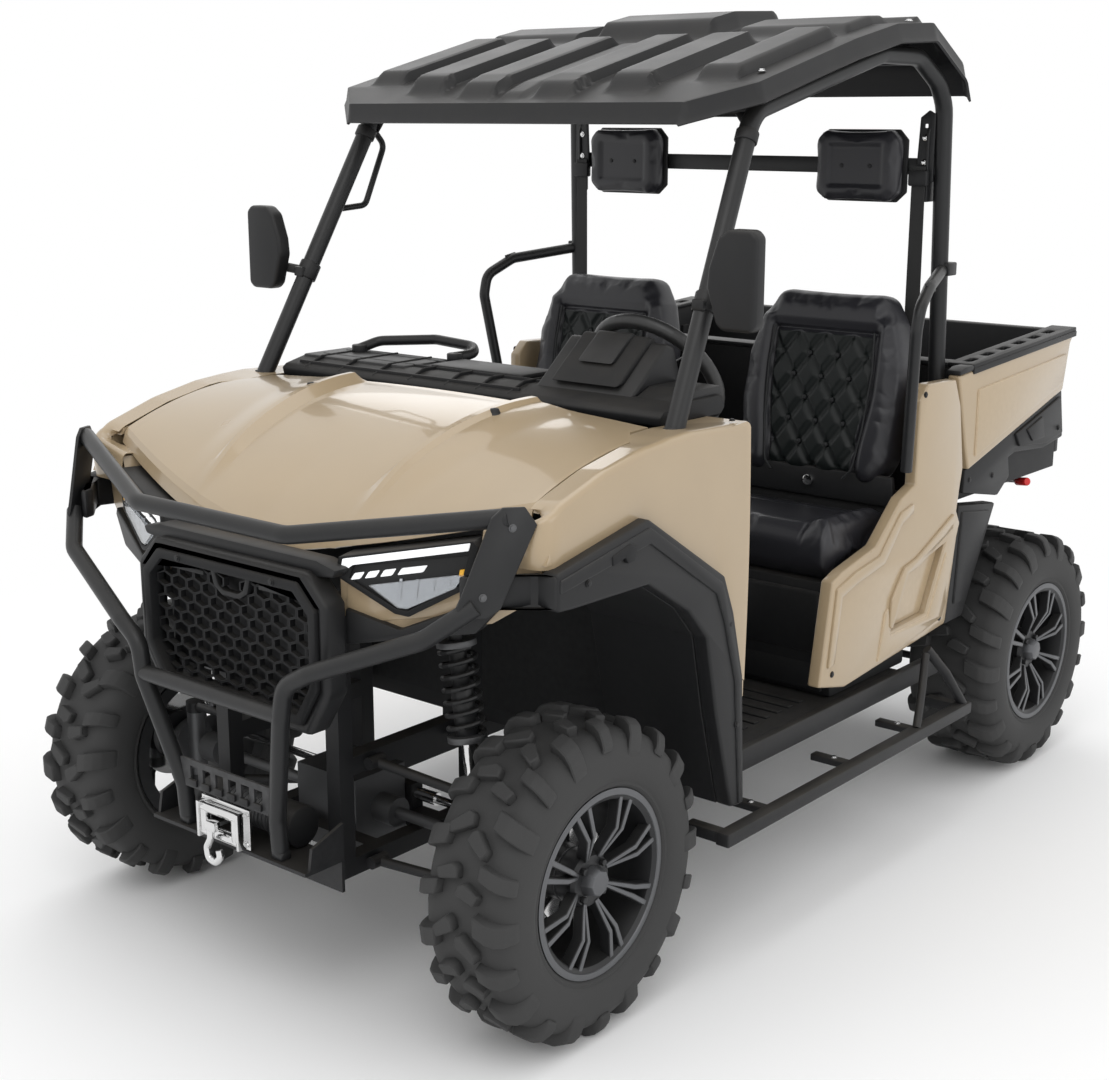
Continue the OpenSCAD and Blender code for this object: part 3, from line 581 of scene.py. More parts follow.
    def lathe(self, finish: Finish, profile: Sequence[Flat], centre: Point, turn: Matrix,
              steps: int = 48) -> None:
        """Spins a closed outline about an axis.

        Args:
            finish: Finish of the turned shape.
            profile: Outline as (radius, height), closed from last to first.
            centre: Point that the axis passes through at height 0.
            turn: Rotation that lays the Z axis along the real axis.
            steps: Steps around the axis.
        """
        part = bmesh.new()
        verts = [part.verts.new((r, 0.0, h)) for r, h in profile]
        edges = [part.edges.new((a, b)) for a, b in zip(verts, verts[1:] + verts[:1])]
        bmesh.ops.spin(part, geom=verts + edges, cent=(0, 0, 0), axis=(0, 0, 1), angle=math.tau,
                       steps=steps, use_merge=True)
        bmesh.ops.remove_doubles(part, verts=part.verts, dist=0.01)
        bmesh.ops.recalc_face_normals(part, faces=part.faces)
        self._place(part, Matrix.Translation(centre) @ turn)
        self._absorb(part, finish)

    def skin(self, finish: Finish, across: int, along: int, shape: Callable[[float, float], Point],
             thickness: float = 3.0, mirrored: bool = False) -> None:
        """Shapes a grid into a curved panel and gives it a wall.

        Args:
            finish: Finish of the panel.
            across: Cells in the first direction.
            along: Cells in the second direction.
            shape: Place of a point from its two shares, each from 0 to 1.
            thickness: Wall on the inner side, or 0 for none.
            mirrored: Whether a copy is added across the centre plane.
        """
        part = bmesh.new()
        bmesh.ops.create_grid(part, x_segments=across, y_segments=along, size=0.5)
        for vert in part.verts:
            vert.co = shape(min(1.0, max(0.0, vert.co.x + 0.5)), min(1.0, max(0.0, vert.co.y + 0.5)))
        bmesh.ops.remove_doubles(part, verts=part.verts, dist=0.02)
        bmesh.ops.recalc_face_normals(part, faces=part.faces)
        if thickness:
            bmesh.ops.solidify(part, geom=list(part.faces), thickness=thickness)
            bmesh.ops.recalc_face_normals(part, faces=part.faces)
        if mirrored:
            self._mirror(part)
        self._absorb(part, finish)

    def screws(self, finish: Finish, places: Iterable[Point], direction: Point, radius: float = 7.0,
               height: float = 4.0, mirrored: bool = False) -> None:
        """Adds hexagon bolt heads with washers.

        Args:
            finish: Finish of the heads.
            places: Seat of each head.
            direction: Way the heads stand out.
            radius: Radius of a head.
            height: Height of a head.
            mirrored: Whether copies are added across the centre plane.
        """
        way = Vector(direction).normalized()
        for seat in places:
            low = Vector(seat)
            self.rod(finish, tuple(low - way), tuple(low + way * 1.6), radius * 1.35, 16, 0.4, mirrored)
            self.rod(finish, tuple(low + way), tuple(low + way * (height + 1.6)), radius, 6, 0.8, mirrored)

    @staticmethod
    def _place(part: bmesh.types.BMesh, place: Matrix | None) -> None:
        """Moves a part by a transform, if there is one."""
        if place is not None:
            bmesh.ops.transform(part, matrix=place, verts=part.verts)

    @staticmethod
    def _mirror(part: bmesh.types.BMesh) -> None:
        """Adds a copy of a part across the centre plane, with its faces outwards.

        Args:
            part: Mesh that gets its copy.
        """
        grown = bmesh.ops.duplicate(part, geom=list(part.verts) + list(part.edges) + list(part.faces))["geom"]
        bmesh.ops.scale(part, vec=(-1, 1, 1), verts=[g for g in grown if isinstance(g, bmesh.types.BMVert)])
        bmesh.ops.reverse_faces(part, faces=[g for g in grown if isinstance(g, bmesh.types.BMFace)])

    def finish(self, replaces: Sequence[str] = (), smooth: float = 35.0) -> bpy.types.Object:
        """Makes the object in metres, rides it on its body and reports it.

        Args:
            replaces: CAD nodes that the piece stands for.
            smooth: Largest angle in degrees that is shaded smooth.

        Returns:
            The finished object.
        """
        bmesh.ops.scale(self.mesh, vec=(MM, MM, MM), verts=self.mesh.verts)
        limit = math.radians(smooth)
        for edge in self.mesh.edges:
            edge.smooth = len(edge.link_faces) == 2 and edge.calc_face_angle(0) < limit
        for face in self.mesh.faces:
            face.smooth = True
        data = bpy.data.meshes.new(self.name)
        self.mesh.to_mesh(data)
        count = sum(len(f.verts) - 2 for f in self.mesh.faces)
        self.mesh.free()
        obj = bpy.data.objects.new(self.name, data)
        bpy.context.scene.collection.objects.link(obj)
        for finish in self.finishes:
            data.materials.append(finish.material())
        shares = Counter(polygon.material_index for polygon in data.polygons)
        self.finishes[shares.most_common(1)[0][0]].slot
        if replaces:
            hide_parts(*replaces)
        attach(obj, self.body)
        LOG.info("%s: %d triangles on %s", self.name, count, self.body)
        return obj


def rounded(path: Sequence[Point], bend: float, closed: bool = False) -> list[Vector]:
    """Rounds the corners of a path.

    Args:
        path: Corner points.
        bend: Radius of the bends, limited by the legs beside each corner.
        closed: Whether the path is a loop.

    Returns:
        Points along the rounded path.
    """
    points = [Vector(p) for p in path]
    count = len(points)
    line: list[Vector] = []
    for i, here in enumerate(points):
        if not closed and i in (0, count - 1):
            line.append(here)
            continue
        back, ahead = points[i - 1] - here, points[(i + 1) % count] - here
        angle = back.angle(ahead)
        if angle > math.pi - 0.03:
            line.append(here)
            continue
        reach = min(bend / math.tan(angle / 2), 0.48 * back.length, 0.48 * ahead.length)
        start, end = here + back.normalized() * reach, here + ahead.normalized() * reach
        steps = max(3, int((math.pi - angle) / 0.16))
        for k in range(steps + 1):
            t = k / steps
            line.append(start * (1 - t) ** 2 + here * 2 * t * (1 - t) + end * t ** 2)
    return line


def _carry_frames(line: Sequence[Vector], closed: bool) -> list[Matrix]:
    """Carries a ring's placement along a line without twisting it.

    Args:
        line: Points along the tube.
        closed: Whether the line is a loop.

    Returns:
        One placement for each point.
    """
    count = len(line)
    frames: list[Matrix] = []
    turn: Matrix | None = None
    before = Vector((0, 0, 1))
    for i, here in enumerate(line):
        ahead = line[(i + 1) % count] if closed or i < count - 1 else here
        behind = line[i - 1] if closed or i > 0 else here
        way = (ahead - behind).normalized()
        step = before.rotation_difference(way).to_matrix()
        turn = step if turn is None else step @ turn
        stretch = 1.0
        if 0 < i < count - 1:
            half = (line[i + 1] - here).angle(here - line[i - 1], 0.0) / 2
            stretch = 1 / max(0.9, math.cos(half))
        frames.append(Matrix.Translation(here) @ turn.to_4x4() @ Matrix.Diagonal((stretch, stretch, 1, 1)))
        before = way
    return frames


def between(table: Sequence[Sequence[float]], key: float) -> list[float]:
    """Reads a table of rows by straight lines between them.

    Args:
        table: Rows whose first number rises.
        key: Value looked up in the first column.

    Returns:
        The other columns at that value.
    """
    if key <= table[0][0]:
        return list(table[0][1:])
    for low, high in zip(table, table[1:]):
        if key <= high[0]:
            share = (key - low[0]) / max(1e-9, high[0] - low[0])
            return [a + (b - a) * share for a, b in zip(low[1:], high[1:])]
    return list(table[-1][1:])


def front(distance: float) -> float:
    """Station along the vehicle, counted back from the front axle."""
    return FRONT_AXLE + distance


def ease(value: float) -> float:
    """Smooth step from 0 to 1."""
    value = min(1.0, max(0.0, value))
    return value * value * (3 - 2 * value)


# ------------------------------------------------------------------ wheels


@dataclass
class Wheel:
    """One wheel: a knobbly tyre on a split-spoke rim with a brake disc."""

    name: str
    side: int
    axle: float
    width: float
    outer: float = 748.0
    lugs: int = 20
    pairs: int = 8

    def __post_init__(self) -> None:
        """Works out the placement that lays the wheel on its axle."""
        self.turn = Matrix.Rotation(self.side * math.pi / 2, 4, "Y")
        self.centre = (0.0, self.axle, AXLE_HEIGHT)
        self.inner = self.outer - self.width

    def _at(self, angle: float) -> Matrix:
        """Placement of something that lies radially at an angle around the axle."""
        return Matrix.Translation(self.centre) @ self.turn @ Matrix.Rotation(angle, 4, "Z")

    def build(self) -> None:
        """Builds the tyre and the rim."""
        self._tyre()
        self._rim()

    def _tyre(self) -> None:
        """Builds the carcass, its bead rings and the tread lugs."""
        out, inn, mid = self.outer, self.inner, (self.outer + self.inner) / 2
        tyre = Piece(f"tyre_{self.name}_detail", f"wheel_{self.name}")
        half = [(183, 21), (200, 20.5), (203, 15), (210, 9), (216, 9.5), (222, 5), (240, 1.5), (262, 1),
                (284, 4), (300, 11), (311, 21), (318, 34), (321, 50)]
        profile = [(r, out - d) for r, d in half] + [(323, mid)] + [(r, inn + d) for r, d in reversed(half)]
        tyre.lathe(RUBBER, profile, self.centre, self.turn, 96)
        for index in range(self.lugs):
            angle = math.tau * index / self.lugs
            wide, foot = (42, 268) if index % 2 else (32, 286)
            self._shoulder(tyre, angle, 1, wide, foot)
            self._shoulder(tyre, angle + math.pi / self.lugs, -1, wide, foot)
            self._crown(tyre, angle, index)
        tyre.finish([f"tyre_{self.name}"], 40)

    def _shoulder(self, tyre: Piece, angle: float, face: int, wide: float, foot: float) -> None:
        """Adds a lug that wraps over one shoulder.

        Args:
            tyre: Piece that gets the lug.
            angle: Place around the axle.
            face: 1 for the outer shoulder and -1 for the inner one.
            wide: Width along the tread.
            foot: Radius where the lug ends on the sidewall.
        """
        edge = self.outer if face > 0 else self.inner
        reach = self.width * 0.30
        line = [(316, edge - face * reach), (341.5, edge - face * (reach - 4)), (342, edge - face * 34),
                (333, edge - face * 15), (314, edge - face * 4), (foot + 14, edge + face * 0.5),
                (foot, edge - face * 3), (foot + 4, edge - face * 8), (300, edge - face * 20)]
        skew = Matrix.Identity(4)
        skew[1][2] = 0.28 * face
        local = Matrix.Translation((0, -skew[1][2] * edge, 0)) @ skew
        tyre.plate(RUBBER, Axis.Y, -wide / 2, wide / 2, line, 3.0, 1, self._at(angle) @ local)

    def _crown(self, tyre: Piece, angle: float, index: int) -> None:
        """Adds the pair of angled lugs in the middle of the tread.

        Args:
            tyre: Piece that gets the lugs.
            angle: Place around the axle.
            index: Number of the lug, which alternates two shapes.
        """
        mid, reach = (self.outer + self.inner) / 2, self.width * 0.19
        for face in (-1, 1):
            bend = 10 if index % 2 else -6
            outline = [(-16, 0), (6, -6 * face), (24 + bend, reach * face), (2 + bend, (reach + 8) * face),
                       (-22, 14 * face)]
            points = [(tangent + (12 if face > 0 else -20), mid + axial + 5 * face) for tangent,
                      axial in outline]
            tyre.plate(RUBBER, Axis.X, 316, 341.5, points, 3.0, 1, self._at(angle + 0.06))

    def _rim(self) -> None:
        """Builds the barrel, lip, spokes, hub, cap, disc and nuts."""
        out, inn = self.outer, self.inner
        rim = Piece(f"rim_{self.name}_detail", f"wheel_{self.name}")
        rim.lathe(ALLOY_DARK, [(167, inn + 15), (199, inn + 15), (199, inn + 19), (181, inn + 22),
                               (181, out - 22), (199, out - 19.5), (200, out - 15), (186, out - 14),
                               (177, out - 20), (170, out - 46), (164, out - 80), (164, inn + 40)],
                  self.centre, self.turn, 96)
        rim.lathe(ALLOY_FACE,
                  [(186, out - 16), (201, out - 16), (201.5, out - 13), (198, out - 11.5), (188, out - 12)],
                  self.centre, self.turn, 96)
        for k in range(self.pairs):
            for lean in (-1, 1):
                self._spoke(rim, math.tau * (k + 0.4) / self.pairs, lean)
        rim.lathe(ALLOY_DARK,
                  [(24, out - 96), (58, out - 96), (60, out - 50), (54, out - 42), (24, out - 42)],
                  self.centre, self.turn, 48)
        for k in range(4):
            spot = self._at(math.tau * (k + 0.5) / 4)
            base, tip = spot @ Vector((44, 0, out - 42)), spot @ Vector((44, 0, out - 32))
            rim.rod(ALLOY_DARK, tuple(base), tuple(tip), 7.5, 6, 1.0)
        cap, tip = self._at(0) @ Vector((0, 0, out - 44)), self._at(0) @ Vector((0, 0, out - 17))
        rim.rod(ALLOY_FACE, tuple(cap), tuple(tip), 36, 8, 2.5, end_radius=27)
        disc = inn + (128 if self.width < 250 else 160)
        rim.lathe(STEEL, [(58, disc), (104, disc), (104, disc + 5), (58, disc + 5)], self.centre, self.turn,
                  64)
        rim.lathe(GREY_METAL, [(24, inn + 118), (60, inn + 118), (60, out - 94), (24, out - 94)],
                  self.centre, self.turn, 32)
        rim.finish([f"rim_{self.name}"], 30)

    def _spoke(self, rim: Piece, angle: float, lean: int) -> None:
        """Adds one arm of a split spoke, bent outwards at its knee.

        Args:
            rim: Piece that gets the arm.
            angle: Middle of the pair around the axle.
            lean: Side of the pair, -1 or 1.
        """
        out = self.outer
        for finish, top, deep, grow in ((ALLOY_DARK, 1.6, 24.0, 1.4), (ALLOY_FACE, 0.0, 2.2, 0.0)):
            part = bmesh.new()
            rows = [(50, 1.5, 3.0, out - 40), (118, 5.0, 4.6, out - 11), (184, 13.5, 5.4, out - 17)]
            verts = []
            for radius, gap, thick, height in rows:
                for offset in (gap - grow, gap + 2 * thick + grow):
                    tangent = offset * lean if radius > 60 else (offset - 2) * lean
                    verts.append(part.verts.new((radius, tangent, height - top)))
            part.faces.new((verts[0], verts[2], verts[3], verts[1]))
            part.faces.new((verts[2], verts[4], verts[5], verts[3]))
            grown = bmesh.ops.extrude_face_region(part, geom=list(part.faces))["geom"]
            bmesh.ops.translate(part, vec=(0, 0, -deep), verts=[g for g in grown if isinstance(g,
                        bmesh.types.BMVert)])
            bmesh.ops.recalc_face_normals(part, faces=part.faces)
            rims = [e for e in part.edges if len(e.link_faces) == 2 and e.calc_face_angle(0) > 0.8]
            bmesh.ops.bevel(part, geom=rims, offset=0.7, offset_type="OFFSET", affect="EDGES", segments=1,
                            profile=0.5, material=-1, clamp_overlap=True)
            Piece._place(part, self._at(angle))
            rim._absorb(part, finish)


# ------------------------------------------------------------------ front end


@dataclass
class FrontBody:
    """Bonnet, fenders, flares, fascia and headlights."""

    half: float = 640.0
    rear: float = -706.0
    rear_height: float = 1250.0
    cheek_sweep: float = 19.2
    flare_out: tuple[Flat, ...] = ((-150, 1028), (-102, 1038), (137, 1085), (411, 911), (448, 823),
                                   (489, 669), (506, 362))
    flare_in: tuple[Flat, ...] = ((454, 367), (388, 603), (348, 786), (281, 860), (139, 948), (-102, 950),
                                  (-150, 953))
    liner: tuple[Flat, ...] = ((-70, 950), (-70, 962), (143, 960), (290, 870), (358, 792), (399, 607),
                               (466, 367))

    def build(self) -> None:
        """Builds the pieces of the front body."""
        self._bonnet()
        self._fenders()
        self._flares()
        self._fascia()
        self._lamps()

    def _cheek(self, x: float, y: float) -> Matrix:
        """Place of the swept-back cheek beside the grille, from its inner end."""
        return Matrix.Translation((x, y, 0)) @ Matrix.Rotation(math.radians(self.cheek_sweep), 4, "Z")

    def _nose(self, x: float) -> float:
        """Station of the bonnet's front edge."""
        return front(-272) + 160 * (abs(x) / 640) ** 1.5

    def _skin_height(self, x: float, share: float) -> float:
        """Height of the bonnet, an eased rise from the nose to the rear edge.

        Args:
            x: Distance from the centre plane.
            share: Share of the bonnet's length, from the nose.

        Returns:
            The height.
        """
        low = 1010 + 128 * (abs(x) / 640) ** 1.3
        high = self.rear_height - 25 * (x / 640) ** 2
        return low + (high - low) * (1 - (1 - share) ** 2.2)

    def _bonnet_point(self, u: float, v: float) -> Point:
        """Place of a point of the bonnet, with its two raised creases.

        Args:
            u: Share across, from right to left.
            v: Share along, from the nose to the rear edge.

        Returns:
            The point.
        """
        side = 1 if u > 0.5 else -1
        s = abs(2 * u - 1)
        half = self.half - 45 * max(0.0, min(1.0, (v - 0.74) / 0.12))
        ridge = 236 + 46 * v
        if s <= 0.36:
            x = ridge * s / 0.36
        elif s <= 0.42:
            x = ridge + 16 * (s - 0.36) / 0.06
        else:
            x = ridge + 16 + (half - ridge - 16) * (s - 0.42) / 0.58
        tall = 20 * ease((v - 0.02) / 0.32)
        if s <= 0.32:
            lift = -3 * ease((v - 0.1) / 0.4)
        elif s <= 0.36:
            lift = tall * (s - 0.32) / 0.04 - 3 * (0.36 - s) / 0.04
        elif s <= 0.42:
            lift = tall
        else:
            fall = x - ridge - 16
            lift = tall * (1 - 0.5 * min(1.0, fall / 12) - 0.5 * ease((fall - 12) / (70 + 60 * v)))
        x *= side
        start = self._nose(x)
        roll = 26 * max(0.0, (0.04 - v) / 0.04) ** 2
        y = start + v * (self.rear - start)
        return x, y, self._skin_height(x, v) + lift * ease((1 - v) / 0.03 + 0.4) - roll

    def _bonnet(self) -> None:
        """Builds the bonnet skin, its rubber buffers and the hinge straps."""
        bonnet = Piece("bonnet_skin", "bonnet")
        bonnet.skin(SAND, 100, 50, self._bonnet_point, 6)
        for side in (-1, 1):
            bonnet.lathe(BLACK, [(0.01, -4), (19, -4), (19, 2), (13, 8), (9, 17), (0.01, 19)],
                         (side * 290, -850, 1238), Matrix.Identity(4), 24)
            bonnet.block(FRAME_BLACK, (side * 320 - 18, -722, 1214), (side * 320 + 18, -708, 1238), 3)
        bonnet.finish(["bonnet"], 13)

    def _fenders(self) -> None:
        """Builds the crowned skins over the fender boxes."""
        crease = ((-1184, 1112, 646), (-1132, 1152, 646), (-997, 1196, 646), (-868, 1222, 646),
                  (-836, 1225, 646), (-782, 1230, 604), (-706, 1234, 603), (-690, 1233, 603),
                  (-494, 1226, 603))
        low = ((-1184, 1030), (-1130, 1033), (-891, 1082), (-617, 908), (-580, 820), (-539, 667), (-494, 640))

        corner_x, corner_y, edge_x, skin_x, fillet = 672.0, -1146.0, 700.0, 714.0, 14.0

        def side_skin(u: float, v: float) -> Point:
            """Place of a point of the left fender's skin, which turns inwards at the lamp.

            Args:
                u: Share down the skin, from the bonnet's edge to the wheel arch.
                v: Share along the skin, from the lamp to the door opening.

            Returns:
                The point.
            """
            turn = max(0.0, 1 - v / 0.16)
            y = corner_y + 652 * max(0.0, (v - 0.16) / 0.84)
            (top, inner), (foot,) = between(crease, y), between(low, y)
            if turn:
                top, foot = 1142 - 42 * turn, 1030.0
                inner = 646 + 28 * min(1.0, turn * 3, (1 - turn) * 3)
            if u <= 0.3:
                x, z = inner + (edge_x - inner) * u / 0.3, top - 5 * (1 - u / 0.3)
            elif u <= 0.42:
                angle = (u - 0.3) / 0.12 * math.pi / 2
                x, z = edge_x + fillet * math.sin(angle), top - fillet + fillet * math.cos(angle)
            else:
                share = (u - 0.42) / 0.58
                x, z = skin_x + 4 * math.sin(share * math.pi), (top - fillet) + (foot - top + fillet) * share
            if not turn:
                return x, y, z
            angle, reach = min(1.0, turn * 2) * math.pi / 2, x - corner_x
            forward = max(0.0, turn * 2 - 1)
            return (corner_x + reach * math.cos(angle) - 104 * forward,
                    corner_y - reach * math.sin(angle) - 8 * forward, z)

        fender = Piece("front_fender_skins")
        fender.skin(SAND, 44, 75, side_skin, 1.6, mirrored=True)
        fender.block(SAND, (664, -504, 600), (712, -492, 1222), 3, mirrored=True)
        fender.screws(BLACK, [(692, -535, 1232)], (0, 0, 1), 5, 2, mirrored=True)
        fender.finish()

    def _flares(self) -> None:
        """Builds the wheel arch flares with their pressed notch, and the liners."""
        flare = Piece("fender_flare_mouldings")
        ring = [(front(a), b) for a, b in (*self.flare_out, *self.flare_in)]
        flare.plate(BLACK, Axis.X, 699, 741, ring, 7, 3, mirrored=True)
        outer = [(front(a), b) for a, b in self.flare_out]
        raised = [(y + dy, z + dz) for (y, z), (dy, dz) in zip(outer, ((6, -12), (0, -14), (0, -16),
                    (-14, -10), (-16, -4), (-14, 0), (-12, 6)))]
        inset = [(y + dy, z + dz) for (y, z), (dy, dz) in zip(reversed(raised), ((-14, 0), (-20, -6),
                    (-22, -12), (-20, -22), (0, -34), (0, -28), (0, -26)))]
        flare.plate(BLACK, Axis.X, 738, 746, raised + inset, 4, 2, mirrored=True)
        flare.plate(BLACK_GRAIN, Axis.X, 739, 749, [(front(8), 1034), (front(66), 1050), (front(92), 1040),
                                                    (front(80), 1012), (front(58), 1010), (front(50), 1024),
                                                    (front(10), 1014)], 3, 2, mirrored=True)
        inner = [(front(a), b) for a, b in self.flare_in if a > 0] + [(front(a), b) for a, b in self.liner]
        flare.plate(BLACK_GRAIN, Axis.X, 420, 700, inner, 2, 1, mirrored=True)
        flare.plate(BLACK, Axis.Z, 958, 1024, [(692, front(-154)), (738, front(-154)), (738, front(-120)),
                                               (600, front(-232)), (588, front(-262)), (606, front(-262))],
                    6, 2, mirrored=True)
        flare.screws(FRAME_BLACK, [(742, front(-60), 994), (742, front(430), 800), (742, front(466), 560)],
                     (1, 0, 0), 6, 3, True)
        flare.finish(["fender_flares"])

    @staticmethod
    def _octagon(w: float, z0: float, z1: float, cut: float) -> list[Flat]:
        """Outline of the grille's eight-sided frame."""
        return [(-w + cut, z0), (w - cut, z0), (w, z0 + cut * 1.6), (w, z1 - cut), (w - cut, z1),
                (-w + cut, z1), (-w, z1 - cut), (-w, z0 + cut * 1.6)]

    def _fascia(self) -> None:
        """Builds the heavy surround, the honeycomb mesh and the wings beside it."""
        fascia = Piece("front_fascia_surround")
        fascia.plate(BLACK, Axis.Y, -1366, -1306, self._octagon(300, 640, 985, 60), 12, 3,
                     hole=[self._octagon(272, 664, 962, 50)])
        fascia.plate(BLACK_GRAIN, Axis.Y, -1374, -1330, self._octagon(274, 662, 964, 52), 5, 2,
                     hole=[self._octagon(252, 684, 942, 42)])
        fascia.plate(BLACK, Axis.Y, -1342, -1290, [(180, 968), (296, 978), (306, 996), (250, 1008),
                                                   (-250, 1008), (-306, 996), (-296, 978), (-180, 968)], 6,
                     2)
        fascia.plate(BLACK, Axis.Y, -8, 44,
                     [(16, 832), (300, 884), (360, 950), (350, 968), (136, 876), (16, 908)], 5, 2,
                     self._cheek(272, -1302), mirrored=True)
        fascia.plate(SAND, Axis.Y, 4, 34, [(14, 872), (336, 928), (352, 1012), (300, 1012), (14, 990)], 4, 2,
                     self._cheek(272, -1302), mirrored=True)
        fascia.screws(FRAME_BLACK,
                      [(x, -1374, z) for x, z in ((150, 953), (-150, 953), (150, 673), (-150, 673))],
                      (0, -1, 0), 6, 3)
        fascia.finish(["front_fascia"])
        grille = Piece("grille_honeycomb")
        pitch, row_step, middle = 50.0, 26.0, 814
        ring = [(19, -7), (23, -7), (23, 7), (19, 7)]
        stretch = Matrix.Diagonal((1.28, 1, 0.77, 1))
        upright = stretch @ Matrix.Rotation(math.pi / 2, 4, "X") @ Matrix.Rotation(math.pi / 6, 4, "Z")
        for row in range(-5, 6):
            for column in range(-6, 7):
                x = column * pitch + (pitch / 2 if row % 2 else 0)
                z = middle + row * row_step
                room = 256 - max(0.0, abs(z - middle) - 72) * 0.9
                if abs(x) < room and not (z > 890 and abs(x) < 46):
                    grille.lathe(BLACK_GRAIN, ring, (x, -1346, z), upright, 6)
        grille.plate(BLACK, Axis.Y, -1358, -1338,
                     [(-66, 948), (66, 948), (54, 906), (28, 890), (-28, 890), (-54, 906)], 4, 2,
                     hole=[[(-48, 936), (48, 936), (38, 910), (22, 902), (-22, 902), (-38, 910)]])
        for side in (-1, 1):
            grille.block(BLACK, (side * 150 - 62, -1356, 922), (side * 150 + 62, -1340, 932), 2)
            grille.block(BLACK, (side * 150 - 50, -1362, 934), (side * 150 + 50, -1342, 941), 2)
        grille.block(FRAME_BLACK, (-240, -1322, 700), (240, -1318, 930), 1)
        grille.finish(["grille"])

    def _lamps(self) -> None:
        """Builds the headlights: housing, light bar, segments, lens and bezel."""
        lamp = Piece("headlight_units")
        place = self._cheek(271, -1305)
        outline = [(0, 975), (130, 908), (160, 905), (285, 975), (313, 1060), (300, 1072), (8, 1015)]
        lamp.plate(BLACK, Axis.Y, -3, 66, outline, 3, 2, place, True)
        cavity = [(30, 972), (134, 920), (158, 918), (272, 980), (290, 1042), (40, 998)]
        lamp.plate(BLACK_GRAIN, Axis.Y, -9, 0, outline, 3, 2, place, True, hole=[cavity])
        lamp.plate(LAMP_WHITE, Axis.Y, -11, -3,
                   [(14, 995), (24, 988), (40, 1001), (292, 1052), (296, 1068), (18, 1012)], 2, 2, place,
                   True)
        for a, b in ((34, 58), (66, 92), (100, 128), (138, 196)):
            lift = [(a + 8, 977 + a * 0.19), (b + 6, 977 + b * 0.19), (b - 4, 962 + b * 0.19),
                    (a - 2, 962 + a * 0.19)]
            lamp.plate(LAMP_WHITE, Axis.Y, -7, 0, lift, 2, 1, place, True)
        lens = [(74, 962), (282, 1004), (262, 974), (158, 922), (136, 922)]
        lamp.plate(REFLECTOR, Axis.Y, -3.5, 1, lens, 1, 1, place, True)
        for x in (140, 176, 212, 246):
            rib = [(x - 3, 936 + abs(x - 150) * 0.42), (x + 3, 936 + abs(x - 150) * 0.42),
                   (x + 8, 972 + x * 0.07), (x + 1, 972 + x * 0.07)]
            lamp.plate(REFLECTOR, Axis.Y, -6, -2, rib, 0.8, 1, place, True)
        lamp.plate(LENS, Axis.Y, -10, -7, lens, 1, 1, place, True)
        lamp.plate(AMBER, Axis.Y, -9, -3, [(272, 1012), (282, 1014), (280, 998), (270, 1000)], 1, 1, place,
                   True)
        lamp.finish(["headlights"])


